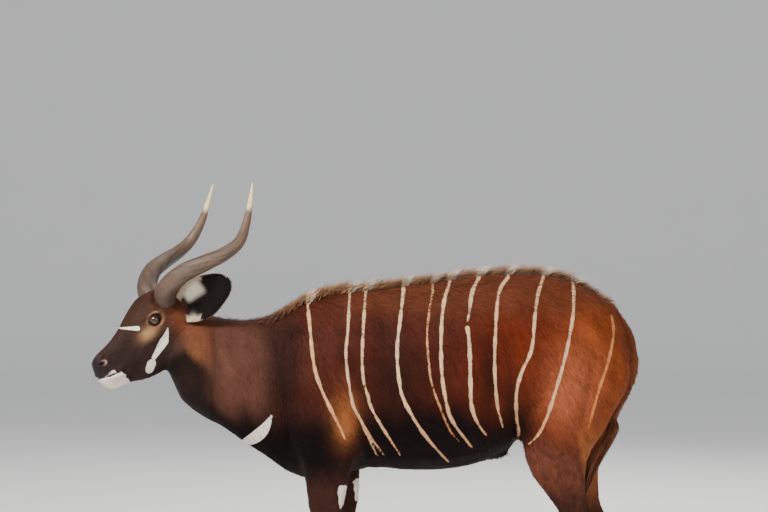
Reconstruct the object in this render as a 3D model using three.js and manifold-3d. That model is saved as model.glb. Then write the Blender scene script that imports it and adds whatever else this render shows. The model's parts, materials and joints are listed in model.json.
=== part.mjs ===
// A bongo bull standing at rest with its head turned a little to its left, at life size.
// Millimetres, +Z up, nose towards -X, the animal's left side towards -Y.
import * as THREE from "three";
import { mergeVertices } from "three/addons/utils/BufferGeometryUtils.js";
import Module from "manifold-3d";

const wasm = await Module();
wasm.setup();

const GAP = 0.3; // between pieces that touch
const REACH = 4000; // larger than the animal, for cutting shapes

// Neck and trunk, as upright sections at each x: outline of the back and belly, and half width.
const BODY_X = [
  -745, -700, -630, -540, -461, -380, -311, -217, -124, 7, 130, 270, 420, 570, 682, 776, 870, 926,
  968, 988,
];
const BACK_Z = [
  1085, 1138, 1156, 1146, 1138, 1150, 1181, 1230, 1256, 1264, 1276, 1294, 1312, 1321, 1313, 1287,
  1238, 1187, 1100, 1030,
];
const BELLY_Z = [
  925, 826, 770, 712, 656, 607, 556, 526, 536, 568, 560, 560, 586, 662, 706, 728, 790, 846, 905,
  960,
];
const HALF_WIDTH = [
  52, 86, 100, 110, 120, 136, 164, 192, 208, 224, 238, 250, 252, 240, 222, 204, 176, 142, 90, 40,
];
const RIDGE_POWER = [
  2.0, 2.0, 2.0, 1.9, 1.8, 1.75, 1.65, 1.6, 1.6, 1.7, 1.8, 1.85, 1.9, 1.9, 1.9, 1.9, 1.95, 2.0,
  2.0, 2.0,
];
const WIDEST_SHARE = 0.44; // of the height of a section, where it is widest
const BELLY_POWER = 2.15;
const BODY_SECTIONS = 32;
const BODY_SIDES = 22;
const BODY_CROWDING = 0.085; // how far sections are drawn towards the two ends
const LOBE_FADE = 0.55; // share of the half width where muscles begin to fade to the middle line

// Muscles and hollows of the flank: middle, reach along and up, and how far they stand out.
const LOBES = [
  { name: "shoulder blade", x: -150, z: 960, along: 120, up: 170, out: 20 },
  { name: "point of shoulder", x: -275, z: 815, along: 80, up: 90, out: 26 },
  { name: "upper arm", x: -120, z: 730, along: 120, up: 80, out: 20 },
  { name: "hollow behind the shoulder", x: 40, z: 900, along: 60, up: 190, out: -16 },
  { name: "hollow before the shoulder", x: -350, z: 930, along: 60, up: 160, out: -12 },
  { name: "barrel", x: 300, z: 800, along: 200, up: 130, out: 10 },
  { name: "flank hollow", x: 500, z: 1000, along: 80, up: 110, out: -22 },
  { name: "hip point", x: 560, z: 1170, along: 60, up: 50, out: 20 },
  { name: "thigh", x: 790, z: 930, along: 130, up: 170, out: 22 },
  { name: "pin bone", x: 920, z: 1060, along: 40, up: 50, out: 12 },
];

// Each leg as level sections: front and rear edge, and the middle and half width across.
const FRONT_LEG = {
  z: [930, 860, 790, 710, 640, 600, 525, 430, 370, 335, 295, 250, 180, 130, 105, 82, 60],
  front: [
    -215, -285, -305, -296, -272, -254, -235, -222, -204, -199, -190, -177, -173, -180, -184,
    -196, -212,
  ],
  rear: [
    -105, -50, -12, 8, -6, -42, -67, -88, -104, -105, -111, -119, -119, -105, -108, -122, -120,
  ],
  side: [120, 130, 140, 142, 136, 132, 124, 116, 112, 110, 108, 106, 104, 103, 103, 103, 103],
  half: [50, 72, 86, 84, 74, 64, 52, 41, 37, 36, 30, 24, 23, 31, 30, 28, 37],
};
const HIND_LEG = {
  z: [
    1190, 1110, 1030, 950, 860, 790, 720, 650, 600, 544, 490, 440, 400, 372, 335, 300, 255, 190,
    140, 112, 84, 60,
  ],
  front: [
    700, 650, 612, 580, 556, 548, 549, 560, 578, 607, 651, 689, 714, 729, 746, 758, 768, 768,
    756, 752, 738, 718,
  ],
  rear: [
    840, 905, 952, 980, 962, 918, 884, 836, 817, 811, 810, 811, 826, 841, 840, 832, 826, 822,
    829, 826, 812, 812,
  ],
  side: [
    92, 108, 122, 128, 130, 130, 128, 124, 121, 118, 114, 111, 109, 108, 107, 106, 106, 105, 105,
    105, 105, 105,
  ],
  half: [50, 84, 100, 106, 102, 94, 84, 72, 64, 54, 44, 36, 35, 35, 33, 29, 25, 24, 31, 30, 28, 37],
};
const LEG_SIDES = 12;
const LEG_POWER = 2.2;
const LONGEST_STEP = 62; // between the level sections of a leg before one more is set between them
const FOOT_SHIFT = [180, 520]; // below the top of a leg, where its set back begins and is whole
const FAR_FRONT_BACK = 55; // how far the right foreleg stands behind the left
const FAR_HIND_BACK = 70;
const ANKLE_Z = 60; // top of the hooves

// Parting lines of the legs, seen from the side, and how far in from the middle they start.
const FRONT_PARTING = [[-345, -40], [-345, 480], [-262, 516], [-338, 650], [-312, 800], [-230, 850],
  [-70, 800], [22, 700], [40, 560], [40, -40]];
const HIND_PARTING = [[520, -40], [520, 500], [540, 700], [600, 860], [690, 980], [800, 1030],
  [930, 1010], [1010, 930], [1010, -40]];
const SLAB_GROWTH = 1.4; // corners move out by more than the sides do
const FRONT_INNER = 52;
const HIND_INNER = 38;

// The head, in its own frame: forward along the face, left, and up, from the midpoint of the eyes.
const HEAD_AT = new THREE.Vector3(-820, -55, 1132);
const HEAD_YAW = THREE.MathUtils.degToRad(30);
const HEAD_PITCH = THREE.MathUtils.degToRad(40);
const HEAD_U = [-178, -150, -110, -70, -35, 0, 40, 80, 115, 150, 185, 215, 245, 268, 284, 294];
const FACE_TOP = [0, 28, 58, 76, 82, 80, 74, 62, 50, 43, 38, 37, 36, 30, 14, -14];
const JAW_LINE = [
  -60, -150, -196, -212, -212, -208, -202, -196, -188, -174, -152, -134, -124, -116, -104, -82,
];
const HEAD_HALF = [30, 62, 78, 84, 84, 80, 70, 58, 49, 43, 40, 40, 41, 39, 31, 17];
const HEAD_WIDEST = [
  -30, -30, -40, -30, -22, -20, -22, -30, -38, -44, -46, -42, -36, -34, -38, -46,
];
const FACE_POWER = 2.2;
const JAW_POWER = 1.7;
const HEAD_SECTIONS = 20;
const HEAD_SIDES = 16;
const HEAD_CROWDING = 0.1;

// The scrotum hangs between the thighs, and the sheath is a low swelling before it.
const SCROTUM = { at: [708, 0, 646], half: [40, 35, 76] };
const SHEATH = { at: [455, 0, 622], half: [90, 30, 30] };

const EYE = { forward: 2, side: 63, up: 0, radius: 20 };

const HORN_PATH = [
  [-78, 48, 20], [-98, 84, 60], [-172, 138, 80], [-253, 182, 64], [-324, 208, 46],
  [-391, 214, 42], [-463, 196, 68], [-529, 182, 110], [-596, 168, 161],
];
const HORN_SECTIONS = 18;
const HORN_SIDES = 10;
const HORN_BASE_RADIUS = 42;
const HORN_TIP_RADIUS = 4;
const HORN_TAPER = { early: 1.25, late: 0.85 };
const HORN_KEEL = 0.1; // how far the keel stands out, of the radius
const HORN_TURN = 1.1 * Math.PI; // of the keel round the horn

const EAR = {
  root: [-92, 66, -42], length: 238, width: 82, cup: 34, thick: 7, droop: 14,
  along: [-132, 161, 120], // back, out and up, in the world's own up
  facing: [0.62, 0.78], // how far its hollow looks ahead and sideways
  rootWidth: 16, tipWidth: 7, rootCup: 4, flattening: 0.75,
  steps: 7, across: 6,
};

const TAIL_PATH = [[880, 1228], [938, 1162], [978, 1090], [1000, 1010], [995, 920], [952, 822],
  [897, 722], [852, 640], [826, 562], [812, 490], [806, 452]];
const TAIL_RADII = [34, 27, 22, 19, 17, 16, 16, 19, 25, 23, 7];
const TAIL_SHARES = TAIL_RADII.map((_, i) => i / (TAIL_RADII.length - 1));
const TAIL_SECTIONS = 12;
const TAIL_SIDES = 8;
const TAIL_LENGTHS = { tail: [0.02, 0.7195], tuft: [0.72, 1] }; // shares of the path

// A cloven hoof: two claws, and the pair of small claws behind the joint above it.
const HOOF = {
  length: 104, width: 37, height: ANKLE_Z - GAP, split: 4, sides: 10, levels: 2,
  slope: 0.62, // of the toe's wall
  shortening: 0.384, // of the length, for each unit of height
  pointing: 0.42, // how much narrower the toe is than the heel
  narrowing: 0.08, // from sole to top
  turnIn: 4, // of the toes towards each other
  ahead: 46, // of the front of the leg
};
const DEW_CLAW = { radius: 11, height: 34, out: 17, behind: 6, below: 6, lean: 0.35, sides: 6 };

const COLOURS = {
  trunk: 0x7a3018, neck: 0x4a2a1e, head: 0x2c1a14, leg: 0x3a1c14, ear: 0x241612, tail: 0x5a2516,
  tuft: 0x1a1210, horn: 0x6b5a4c, hoof: 0x1c1815, eye: 0x2a1a0c,
};

function skin(colour, roughness) {
  return new THREE.MeshStandardMaterial({ color: colour, roughness, metalness: 0 });
}

// A smooth curve through named sizes: the value at x of values given at knots.
function through(knots, values, x) {
  const last = knots.length - 1;
  const rising = knots[last] > knots[0] ? 1 : -1;
  let i = 0;
  while (i < last - 1 && rising * (x - knots[i + 1]) > 0) i += 1;
  const slope = (k) => {
    const a = Math.max(k - 1, 0);
    const b = Math.min(k + 1, last);
    return (values[b] - values[a]) / (knots[b] - knots[a]);
  };
  const step = knots[i + 1] - knots[i];
  const t = THREE.MathUtils.clamp((x - knots[i]) / step, 0, 1);
  const t2 = t * t;
  const t3 = t2 * t;
  return (2 * t3 - 3 * t2 + 1) * values[i] + (t3 - 2 * t2 + t) * step * slope(i)
    + (3 * t2 - 2 * t3) * values[i + 1] + (t3 - t2) * step * slope(i + 1);
}

// A point of a rounded section: power 2 is an ellipse, lower is more pointed.
function bow(value, power) {
  return Math.sign(value) * Math.abs(value) ** (2 / power);
}

// A closed skin over rings of points, with a point at the middle of each end.
function skinOver(rings) {
  const count = rings[0].length;
  const points = rings.flat();
  const middle = (ring) => {
    const sum = new THREE.Vector3();
    for (const point of ring) sum.add(point);
    return sum.divideScalar(count);
  };
  const first = points.push(middle(rings[0])) - 1;
  const last = points.push(middle(rings[rings.length - 1])) - 1;
  const faces = [];
  for (let i = 0; i < count; i += 1) {
    const j = (i + 1) % count;
    for (let r = 0; r + 1 < rings.length; r += 1) {
      const low = r * count;
      const high = low + count;
      faces.push(low + i, low + j, high + j, low + i, high + j, high + i);
    }
    const end = (rings.length - 1) * count;
    faces.push(first, j, i, last, end + i, end + j);
  }
  return closed(points, faces);
}

function closed(points, faces) {
  const geometry = new THREE.BufferGeometry().setFromPoints(points);
  geometry.setIndex(faces);
  return solidOf(geometry);
}

function solidOf(geometry) {
  const bare = geometry.clone();
  bare.deleteAttribute("normal");
  bare.deleteAttribute("uv");
  const merged = mergeVertices(bare, 1e-3);
  const build = (triVerts) => new wasm.Manifold(new wasm.Mesh({
    numProp: 3, vertProperties: merged.attributes.position.array, triVerts,
  }));
  const faces = new Uint32Array(merged.index.array);
  const made = build(faces);
  return made.volume() > 0 ? made : build(faces.reverse());
}

function geometryOf(solid) {
  const mesh = solid.getMesh();
  const geometry = new THREE.BufferGeometry();
  geometry.setAttribute("position", new THREE.BufferAttribute(mesh.vertProperties, 3));
  geometry.setIndex(new THREE.BufferAttribute(mesh.triVerts, 1));
  return geometry;
}

// The flank's muscles push a point sideways, and fade to nothing at the middle line.
function overMuscle(point, halfWidth) {
  const fade = Math.min(1, Math.abs(point.y) / (LOBE_FADE * halfWidth));
  for (const lobe of LOBES) {
    const away = ((point.x - lobe.x) / lobe.along) ** 2 + ((point.z - lobe.z) / lobe.up) ** 2;
    point.y += Math.sign(point.y) * lobe.out * fade * Math.exp(-away);
  }
  return point;
}

// The place of section k of count between the first and last knot, closer together at the ends.
function spaced(knots, k, count, crowding) {
  const share = k / count;
  const eased = share - (crowding * Math.sin(2 * Math.PI * share)) / Math.PI;
  return THREE.MathUtils.lerp(knots[0], knots[knots.length - 1], eased);
}

function makeBody() {
  const rings = [];
  for (let k = 0; k <= BODY_SECTIONS; k += 1) {
    const x = spaced(BODY_X, k, BODY_SECTIONS, BODY_CROWDING);
    const back = through(BODY_X, BACK_Z, x);
    const belly = through(BODY_X, BELLY_Z, x);
    const half = through(BODY_X, HALF_WIDTH, x);
    const power = through(BODY_X, RIDGE_POWER, x);
    const middle = belly + WIDEST_SHARE * (back - belly);
    const ring = [];
    for (let i = 0; i < BODY_SIDES; i += 1) {
      const angle = (2 * Math.PI * (i + 0.5)) / BODY_SIDES;
      const high = Math.sin(angle);
      const rise = high > 0 ? back - middle : middle - belly;
      const y = half * bow(Math.cos(angle), high > 0 ? power : BELLY_POWER);
      ring.push(overMuscle(new THREE.Vector3(x, y, middle + rise * bow(high, 2)), half));
    }
    rings.push(ring);
  }
  return skinOver(rings);
}

function makeSwelling({ at, half }) {
  const ball = new THREE.SphereGeometry(1, 12, 8);
  ball.scale(...half);
  return solidOf(ball.translate(...at));
}

// side is -1 for the left legs and 1 for the right; back is how far the foot is set behind.
function makeLeg(leg, side, back) {
  const rings = [];
  const top = leg.z[0];
  const last = leg.z.length - 1;
  const levels = [];
  for (let k = 0; k < last; k += 1) {
    const step = leg.z[k] - leg.z[k + 1];
    levels.push(leg.z[k]);
    if (step > LONGEST_STEP) levels.push(leg.z[k] - step / 2);
  }
  levels.push(ANKLE_Z);
  for (const z of levels) {
    const front = through(leg.z, leg.front, z);
    const rear = through(leg.z, leg.rear, z);
    const across = through(leg.z, leg.half, z);
    const shift = back * THREE.MathUtils.smoothstep(top - z, ...FOOT_SHIFT);
    const middleY = side * through(leg.z, leg.side, z);
    const centre = new THREE.Vector3((front + rear) / 2 + shift, middleY, z);
    const ring = [];
    for (let i = 0; i < LEG_SIDES; i += 1) {
      const angle = (2 * Math.PI * i) / LEG_SIDES;
      ring.push(new THREE.Vector3(
        centre.x + ((rear - front) / 2) * Math.cos(angle),
        centre.y + across * bow(Math.sin(angle), LEG_POWER),
        z,
      ));
    }
    rings.push(ring);
  }
  return skinOver(rings);
}

const HEAD_FORWARD = new THREE.Vector3(
  -Math.cos(HEAD_YAW) * Math.cos(HEAD_PITCH),
  -Math.sin(HEAD_YAW) * Math.cos(HEAD_PITCH),
  -Math.sin(HEAD_PITCH),
);
const HEAD_LEFT = new THREE.Vector3(Math.sin(HEAD_YAW), -Math.cos(HEAD_YAW), 0);
const HEAD_UP = HEAD_FORWARD.clone().cross(HEAD_LEFT);

function onHead(forward, left, up) {
  return HEAD_AT.clone().addScaledVector(HEAD_FORWARD, forward)
    .addScaledVector(HEAD_LEFT, left).addScaledVector(HEAD_UP, up);
}

function makeHead() {
  const rings = [];
  for (let k = 0; k <= HEAD_SECTIONS; k += 1) {
    const u = spaced(HEAD_U, k, HEAD_SECTIONS, HEAD_CROWDING);
    const top = through(HEAD_U, FACE_TOP, u);
    const jaw = through(HEAD_U, JAW_LINE, u);
    const half = through(HEAD_U, HEAD_HALF, u);
    const widest = through(HEAD_U, HEAD_WIDEST, u);
    const ring = [];
    for (let i = 0; i < HEAD_SIDES; i += 1) {
      const angle = (2 * Math.PI * (i + 0.5)) / HEAD_SIDES;
      const high = Math.sin(angle);
      const rise = high > 0 ? top - widest : widest - jaw;
      const left = half * bow(Math.cos(angle), high > 0 ? FACE_POWER : JAW_POWER);
      ring.push(onHead(u, left, widest + rise * bow(high, 2)));
    }
    rings.push(ring);
  }
  return skinOver(rings);
}

function makeHorn(side) {
  const places = HORN_PATH.map(([u, v, w]) => onHead(u, side * v, w));
  const path = new THREE.CatmullRomCurve3(places, false, "centripetal");
  const frames = path.computeFrenetFrames(HORN_SECTIONS, false);
  const rings = [];
  for (let k = 0; k <= HORN_SECTIONS; k += 1) {
    const share = k / HORN_SECTIONS;
    const centre = path.getPointAt(share);
    const left = (1 - share ** HORN_TAPER.early) ** HORN_TAPER.late;
    const radius = THREE.MathUtils.lerp(HORN_TIP_RADIUS, HORN_BASE_RADIUS, left);
    const ring = [];
    for (let i = 0; i < HORN_SIDES; i += 1) {
      const angle = (2 * Math.PI * i) / HORN_SIDES;
      const keel = 1 + HORN_KEEL * Math.max(0, Math.cos(angle - side * HORN_TURN * share)) ** 3;
      ring.push(centre.clone()
        .addScaledVector(frames.normals[k], radius * keel * Math.cos(angle))
        .addScaledVector(frames.binormals[k], radius * keel * Math.sin(angle)));
    }
    rings.push(ring);
  }
  return skinOver(rings);
}

// Half the width of an ear, from its root at 0 to its tip at 1.
function earHalf(reach) {
  const leaf = Math.sin(Math.PI * Math.min(1, 0.12 + 0.88 * reach) ** 0.95);
  return EAR.rootWidth + (EAR.width - EAR.rootWidth) * leaf ** 0.8;
}

// An ear is a cupped leaf: an outer face, an inner face a little inside it, and a rim between.
function makeEar(side) {
  const [back, out, up] = EAR.along;
  const level = new THREE.Vector3(HEAD_FORWARD.x, HEAD_FORWARD.y, 0).normalize();
  const along = new THREE.Vector3(0, 0, up).addScaledVector(level, back)
    .addScaledVector(HEAD_LEFT, side * out).normalize();
  const [ahead, sideways] = EAR.facing;
  const open = level.clone().multiplyScalar(ahead).addScaledVector(HEAD_LEFT, side * sideways);
  open.addScaledVector(along, -open.dot(along)).normalize();
  const across = along.clone().cross(open);
  const root = onHead(EAR.root[0], side * EAR.root[1], EAR.root[2]);
  const rings = [];
  for (let k = 0; k <= EAR.steps; k += 1) {
    const reach = (k / EAR.steps) ** 0.9;
    const width = k === EAR.steps ? EAR.tipWidth : earHalf(reach);
    const cup = EAR.cup * (1 - EAR.flattening * reach) + EAR.rootCup;
    const droop = 0.5 * EAR.droop * reach ** 2;
    const shape = (t, depth) => {
      const hollow = cup * Math.cos((t * Math.PI) / 2) + EAR.thick * depth - droop;
      return root.clone()
        .addScaledVector(along, EAR.length * reach)
        .addScaledVector(across, (width - (1 - depth)) * Math.sin((t * Math.PI) / 2))
        .addScaledVector(open, -hollow);
    };
    const ring = [];
    for (let j = 0; j <= EAR.across; j += 1) ring.push(shape((2 * j) / EAR.across - 1, 1));
    for (let j = EAR.across; j >= 0; j -= 1) ring.push(shape((2 * j) / EAR.across - 1, 0));
    rings.push(ring);
  }
  return skinOver(rings);
}

// margin is above 0 for the groove that the tail hangs in.
function makeTail(margin, from, to) {
  const path = new THREE.CatmullRomCurve3(TAIL_PATH.map(([x, z]) => new THREE.Vector3(x, 0, z)));
  const rings = [];
  for (let k = 0; k <= TAIL_SECTIONS; k += 1) {
    const share = THREE.MathUtils.lerp(from, to, k / TAIL_SECTIONS);
    const centre = path.getPointAt(share);
    const tangent = path.getTangentAt(share);
    const outwards = new THREE.Vector3(tangent.z, 0, -tangent.x);
    const radius = through(TAIL_SHARES, TAIL_RADII, share) + margin;
    if (k === 0) centre.addScaledVector(tangent, -margin);
    const ring = [];
    for (let i = 0; i < TAIL_SIDES; i += 1) {
      const angle = (2 * Math.PI * i) / TAIL_SIDES;
      const point = centre.clone().addScaledVector(outwards, radius * Math.cos(angle));
      point.y += radius * Math.sin(angle);
      ring.push(point);
    }
    rings.push(ring);
  }
  return skinOver(rings);
}

// A claw stands on its flat sole; its wall slopes back as it rises.
function makeClaw(toeX, middleY, inward) {
  const rings = [];
  for (let k = 0; k <= HOOF.levels; k += 1) {
    const z = (HOOF.height * k) / HOOF.levels;
    const length = HOOF.length - HOOF.shortening * z;
    const rise = 1 - (HOOF.narrowing * k) / HOOF.levels;
    const front = toeX + HOOF.slope * z;
    const ring = [];
    for (let i = 0; i < HOOF.sides; i += 1) {
      const angle = (2 * Math.PI * i) / HOOF.sides;
      const ahead = (1 - Math.cos(angle)) / 2;
      const toe = 1 - HOOF.pointing * (1 - ahead) ** 2;
      const wide = (HOOF.width / 2) * Math.sin(angle) * toe * rise;
      const turned = inward * HOOF.turnIn * (1 - ahead);
      ring.push(new THREE.Vector3(front + length * ahead, middleY + wide + turned, z));
    }
    rings.push(ring);
  }
  return skinOver(rings);
}

function makeDewClaw(x, y, z) {
  const claw = new THREE.ConeGeometry(DEW_CLAW.radius, DEW_CLAW.height, DEW_CLAW.sides);
  claw.rotateX(-Math.PI / 2 - DEW_CLAW.lean);
  claw.translate(x, y, z);
  return solidOf(claw);
}

// The region of one leg, as an upright slab that starts beside the middle line.
function legRegion(outline, inner, side, margin) {
  const corners = outline.map(([x, z]) => new THREE.Vector2(x, z));
  const middle = new THREE.Vector2();
  for (const corner of corners) middle.addScaledVector(corner, 1 / corners.length);
  const grown = corners.map((corner) => {
    const away = corner.clone().sub(middle);
    return away.setLength(away.length() + margin * SLAB_GROWTH).add(middle);
  });
  const shape = new THREE.Shape(grown);
  const slab = new THREE.ExtrudeGeometry(shape, { depth: REACH, bevelEnabled: false });
  slab.rotateX(Math.PI / 2);
  slab.translate(0, side < 0 ? -(inner - margin) : REACH + inner - margin, 0);
  return solidOf(slab);
}

// A half space as a large block: everything on the side of the plane that its normal points to.
function beyond(point, normal, margin) {
  const block = new THREE.BoxGeometry(REACH, REACH, REACH);
  block.translate(0, 0, REACH / 2 + margin);
  const up = new THREE.Vector3(0, 0, 1);
  const turn = new THREE.Quaternion().setFromUnitVectors(up, normal.clone().normalize());
  block.applyQuaternion(turn);
  block.translate(point.x, point.y, point.z);
  return solidOf(block);
}

const group = new THREE.Group();

function addPiece(name, solid, colour, roughness = 0.85) {
  const piece = new THREE.Mesh(geometryOf(solid), skin(colour, roughness));
  piece.name = name;
  group.add(piece);
}

const FRONT = { leg: FRONT_LEG, region: FRONT_PARTING, inner: FRONT_INNER };
const HIND = { leg: HIND_LEG, region: HIND_PARTING, inner: HIND_INNER };
const LEGS = [
  { name: "front_left", side: -1, back: 0, ...FRONT },
  { name: "front_right", side: 1, back: FAR_FRONT_BACK, ...FRONT },
  { name: "hind_left", side: -1, back: 0, ...HIND },
  { name: "hind_right", side: 1, back: FAR_HIND_BACK, ...HIND },
];

function makeFeet(at) {
  const last = at.leg.z.length - 1;
  const front = at.leg.front[last] + at.back - HOOF.ahead;
  const middle = at.side * at.leg.side[last];
  for (const outer of [-1, 1]) {
    const label = outer * at.side > 0 ? "outer" : "inner";
    const y = middle + outer * (HOOF.width + HOOF.split) / 2;
    addPiece(`hoof_${at.name}_${label}`, makeClaw(front, y, -outer), COLOURS.hoof, 0.5);
  }
}

function makeDewClaws(at, cut) {
  const fetlock = at.leg.z.length - 3;
  const x = at.leg.rear[fetlock] + at.back - DEW_CLAW.behind;
  const z = at.leg.z[fetlock] - DEW_CLAW.below;
  for (const outer of [-1, 1]) {
    const label = outer * at.side > 0 ? "outer" : "inner";
    const y = at.side * at.leg.side[fetlock] + outer * DEW_CLAW.out;
    const claw = makeDewClaw(x, y, z).subtract(cut);
    addPiece(`dewclaw_${at.name}_${label}`, claw, COLOURS.hoof, 0.6);
  }
}

let whole = makeBody().add(makeSwelling(SCROTUM)).add(makeSwelling(SHEATH));
for (const at of LEGS) whole = whole.add(makeLeg(at.leg, at.side, at.back));
for (const [from, to] of Object.values(TAIL_LENGTHS)) {
  whole = whole.subtract(makeTail(1.5 * GAP, from, to));
}
const headSolid = makeHead();
whole = whole.add(headSolid);

for (const side of [-1, 1]) {
  const eyeball = (radius) => {
    const ball = new THREE.SphereGeometry(radius, 12, 8);
    const at = onHead(EYE.forward, -side * EYE.side, EYE.up);
    return solidOf(ball.translate(at.x, at.y, at.z));
  };
  const label = side < 0 ? "left" : "right";
  whole = whole.subtract(eyeball(EYE.radius + GAP));
  addPiece(`eye_${label}`, eyeball(EYE.radius), COLOURS.eye, 0.15);
  const [root, next] = HORN_PATH.slice(1, 3).map(([u, v, w]) => onHead(u, -side * v, w));
  const rise = next.sub(root).setLength(GAP * 2);
  addPiece(`horn_${label}`, makeHorn(-side).subtract(whole).translate(rise.toArray()), COLOURS.horn, 0.55);
  const earOut = onHead(0, -side, 0).sub(HEAD_AT).setLength(GAP * 2);
  addPiece(`ear_${label}`, makeEar(-side).subtract(whole).translate(earOut.toArray()), COLOURS.ear);
}

const neckFront = onHead(-120, 0, -70);
const neckFrontNormal = HEAD_FORWARD.clone().multiplyScalar(0.6).add(new THREE.Vector3(-0.75, -0.1, 0.1));
const neckBase = new THREE.Vector3(-330, 0, 850);
const neckBaseNormal = new THREE.Vector3(-1, 0, -0.16);

addPiece("head", whole.intersect(beyond(neckFront, neckFrontNormal, 0)), COLOURS.head);
whole = whole.subtract(beyond(neckFront, neckFrontNormal, -GAP));

for (const at of LEGS) {
  const piece = whole.intersect(legRegion(at.region, at.inner, at.side, 0));
  addPiece(`leg_${at.name}`, piece, COLOURS.leg);
  makeFeet(at);
  makeDewClaws(at, piece);
}
for (const at of LEGS) whole = whole.subtract(legRegion(at.region, at.inner, at.side, GAP));
addPiece("neck", whole.intersect(beyond(neckBase, neckBaseNormal, 0)), COLOURS.neck);
whole = whole.subtract(beyond(neckBase, neckBaseNormal, -GAP));
addPiece("trunk", whole, COLOURS.trunk);
addPiece("tail", makeTail(0, ...TAIL_LENGTHS.tail), COLOURS.tail);
addPiece("tail_tuft", makeTail(0, ...TAIL_LENGTHS.tuft), COLOURS.tuft);

// The origin is on the floor, below the middle of the whole.
group.updateMatrixWorld(true);
const box = new THREE.Box3().setFromObject(group);
group.position.set(-(box.min.x + box.max.x) / 2, -(box.min.y + box.max.y) / 2, -box.min.z);

export default group;
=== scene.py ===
"""A life-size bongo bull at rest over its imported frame: skin, mesh coat, horns, ears, eyes and hooves."""

import json
import math

import bmesh
import bpy
import numpy as np
from bpy.props import FloatProperty, FloatVectorProperty, IntProperty, PointerProperty
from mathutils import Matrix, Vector

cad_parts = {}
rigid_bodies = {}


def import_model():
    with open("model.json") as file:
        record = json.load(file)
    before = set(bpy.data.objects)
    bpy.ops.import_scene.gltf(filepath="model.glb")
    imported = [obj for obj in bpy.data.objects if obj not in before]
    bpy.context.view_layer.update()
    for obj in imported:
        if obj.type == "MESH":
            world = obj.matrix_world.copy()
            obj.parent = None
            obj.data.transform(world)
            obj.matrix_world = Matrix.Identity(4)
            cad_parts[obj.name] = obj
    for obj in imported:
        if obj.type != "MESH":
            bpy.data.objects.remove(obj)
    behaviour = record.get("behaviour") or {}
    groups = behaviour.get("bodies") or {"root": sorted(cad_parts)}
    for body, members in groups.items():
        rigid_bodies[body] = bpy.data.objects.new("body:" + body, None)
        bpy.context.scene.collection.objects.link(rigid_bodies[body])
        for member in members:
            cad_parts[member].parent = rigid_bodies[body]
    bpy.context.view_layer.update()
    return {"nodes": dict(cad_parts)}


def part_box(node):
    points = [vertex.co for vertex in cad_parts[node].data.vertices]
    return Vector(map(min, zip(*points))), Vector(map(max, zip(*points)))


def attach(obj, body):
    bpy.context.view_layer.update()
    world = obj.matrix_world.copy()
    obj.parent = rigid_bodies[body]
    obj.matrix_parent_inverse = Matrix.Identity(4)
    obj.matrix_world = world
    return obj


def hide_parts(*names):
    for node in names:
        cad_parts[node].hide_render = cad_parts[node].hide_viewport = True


bl_info = {
    "name": "Bongo bull",
    "version": (1, 0, 0),
    "blender": (4, 5, 0),
    "location": "View3D > Sidebar > Bongo",
    "description": "Skin, coat, horns, eyes and hooves of a life-size bongo bull",
    "category": "Add Mesh",
}

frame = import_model()

ENDS = ("front", "hind")
SIDES = ("left", "right")
LEGS = [f"{end}_{side}" for end in ENDS for side in SIDES]
FLESH = ["head", "neck", "trunk", "tail"] + [f"leg_{leg}" for leg in LEGS]
SIDE_SIGN = {"left": 1.0, "right": -1.0}

HEAD_PITCH = math.radians(40)
UP_AXIS = np.array([0.0, 0.0, 1.0])


def middle(node):
    low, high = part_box(node)
    return np.array((low + high) / 2)


# The head's own frame comes from its eyes: forward along the face, left, and up.
EYE_AT = {side: middle(f"eye_{side}") for side in SIDES}
EYE_GAP = EYE_AT["left"] - EYE_AT["right"]
HEAD_LEFT = EYE_GAP / np.linalg.norm(EYE_GAP)
HEAD_LEVEL = np.array([HEAD_LEFT[1], -HEAD_LEFT[0], 0.0])
HEAD_FORWARD = HEAD_LEVEL * math.cos(HEAD_PITCH) - UP_AXIS * math.sin(HEAD_PITCH)
HEAD_UP = np.cross(HEAD_FORWARD, HEAD_LEFT)
EYE_FORWARD = 0.002
HEAD_AT = (EYE_AT["left"] + EYE_AT["right"]) / 2 - EYE_FORWARD * HEAD_FORWARD
MIDDLE_Y = float(middle("tail")[1])
NECK_END = -0.12  # in the head's frame, where the head passes into the neck


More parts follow.
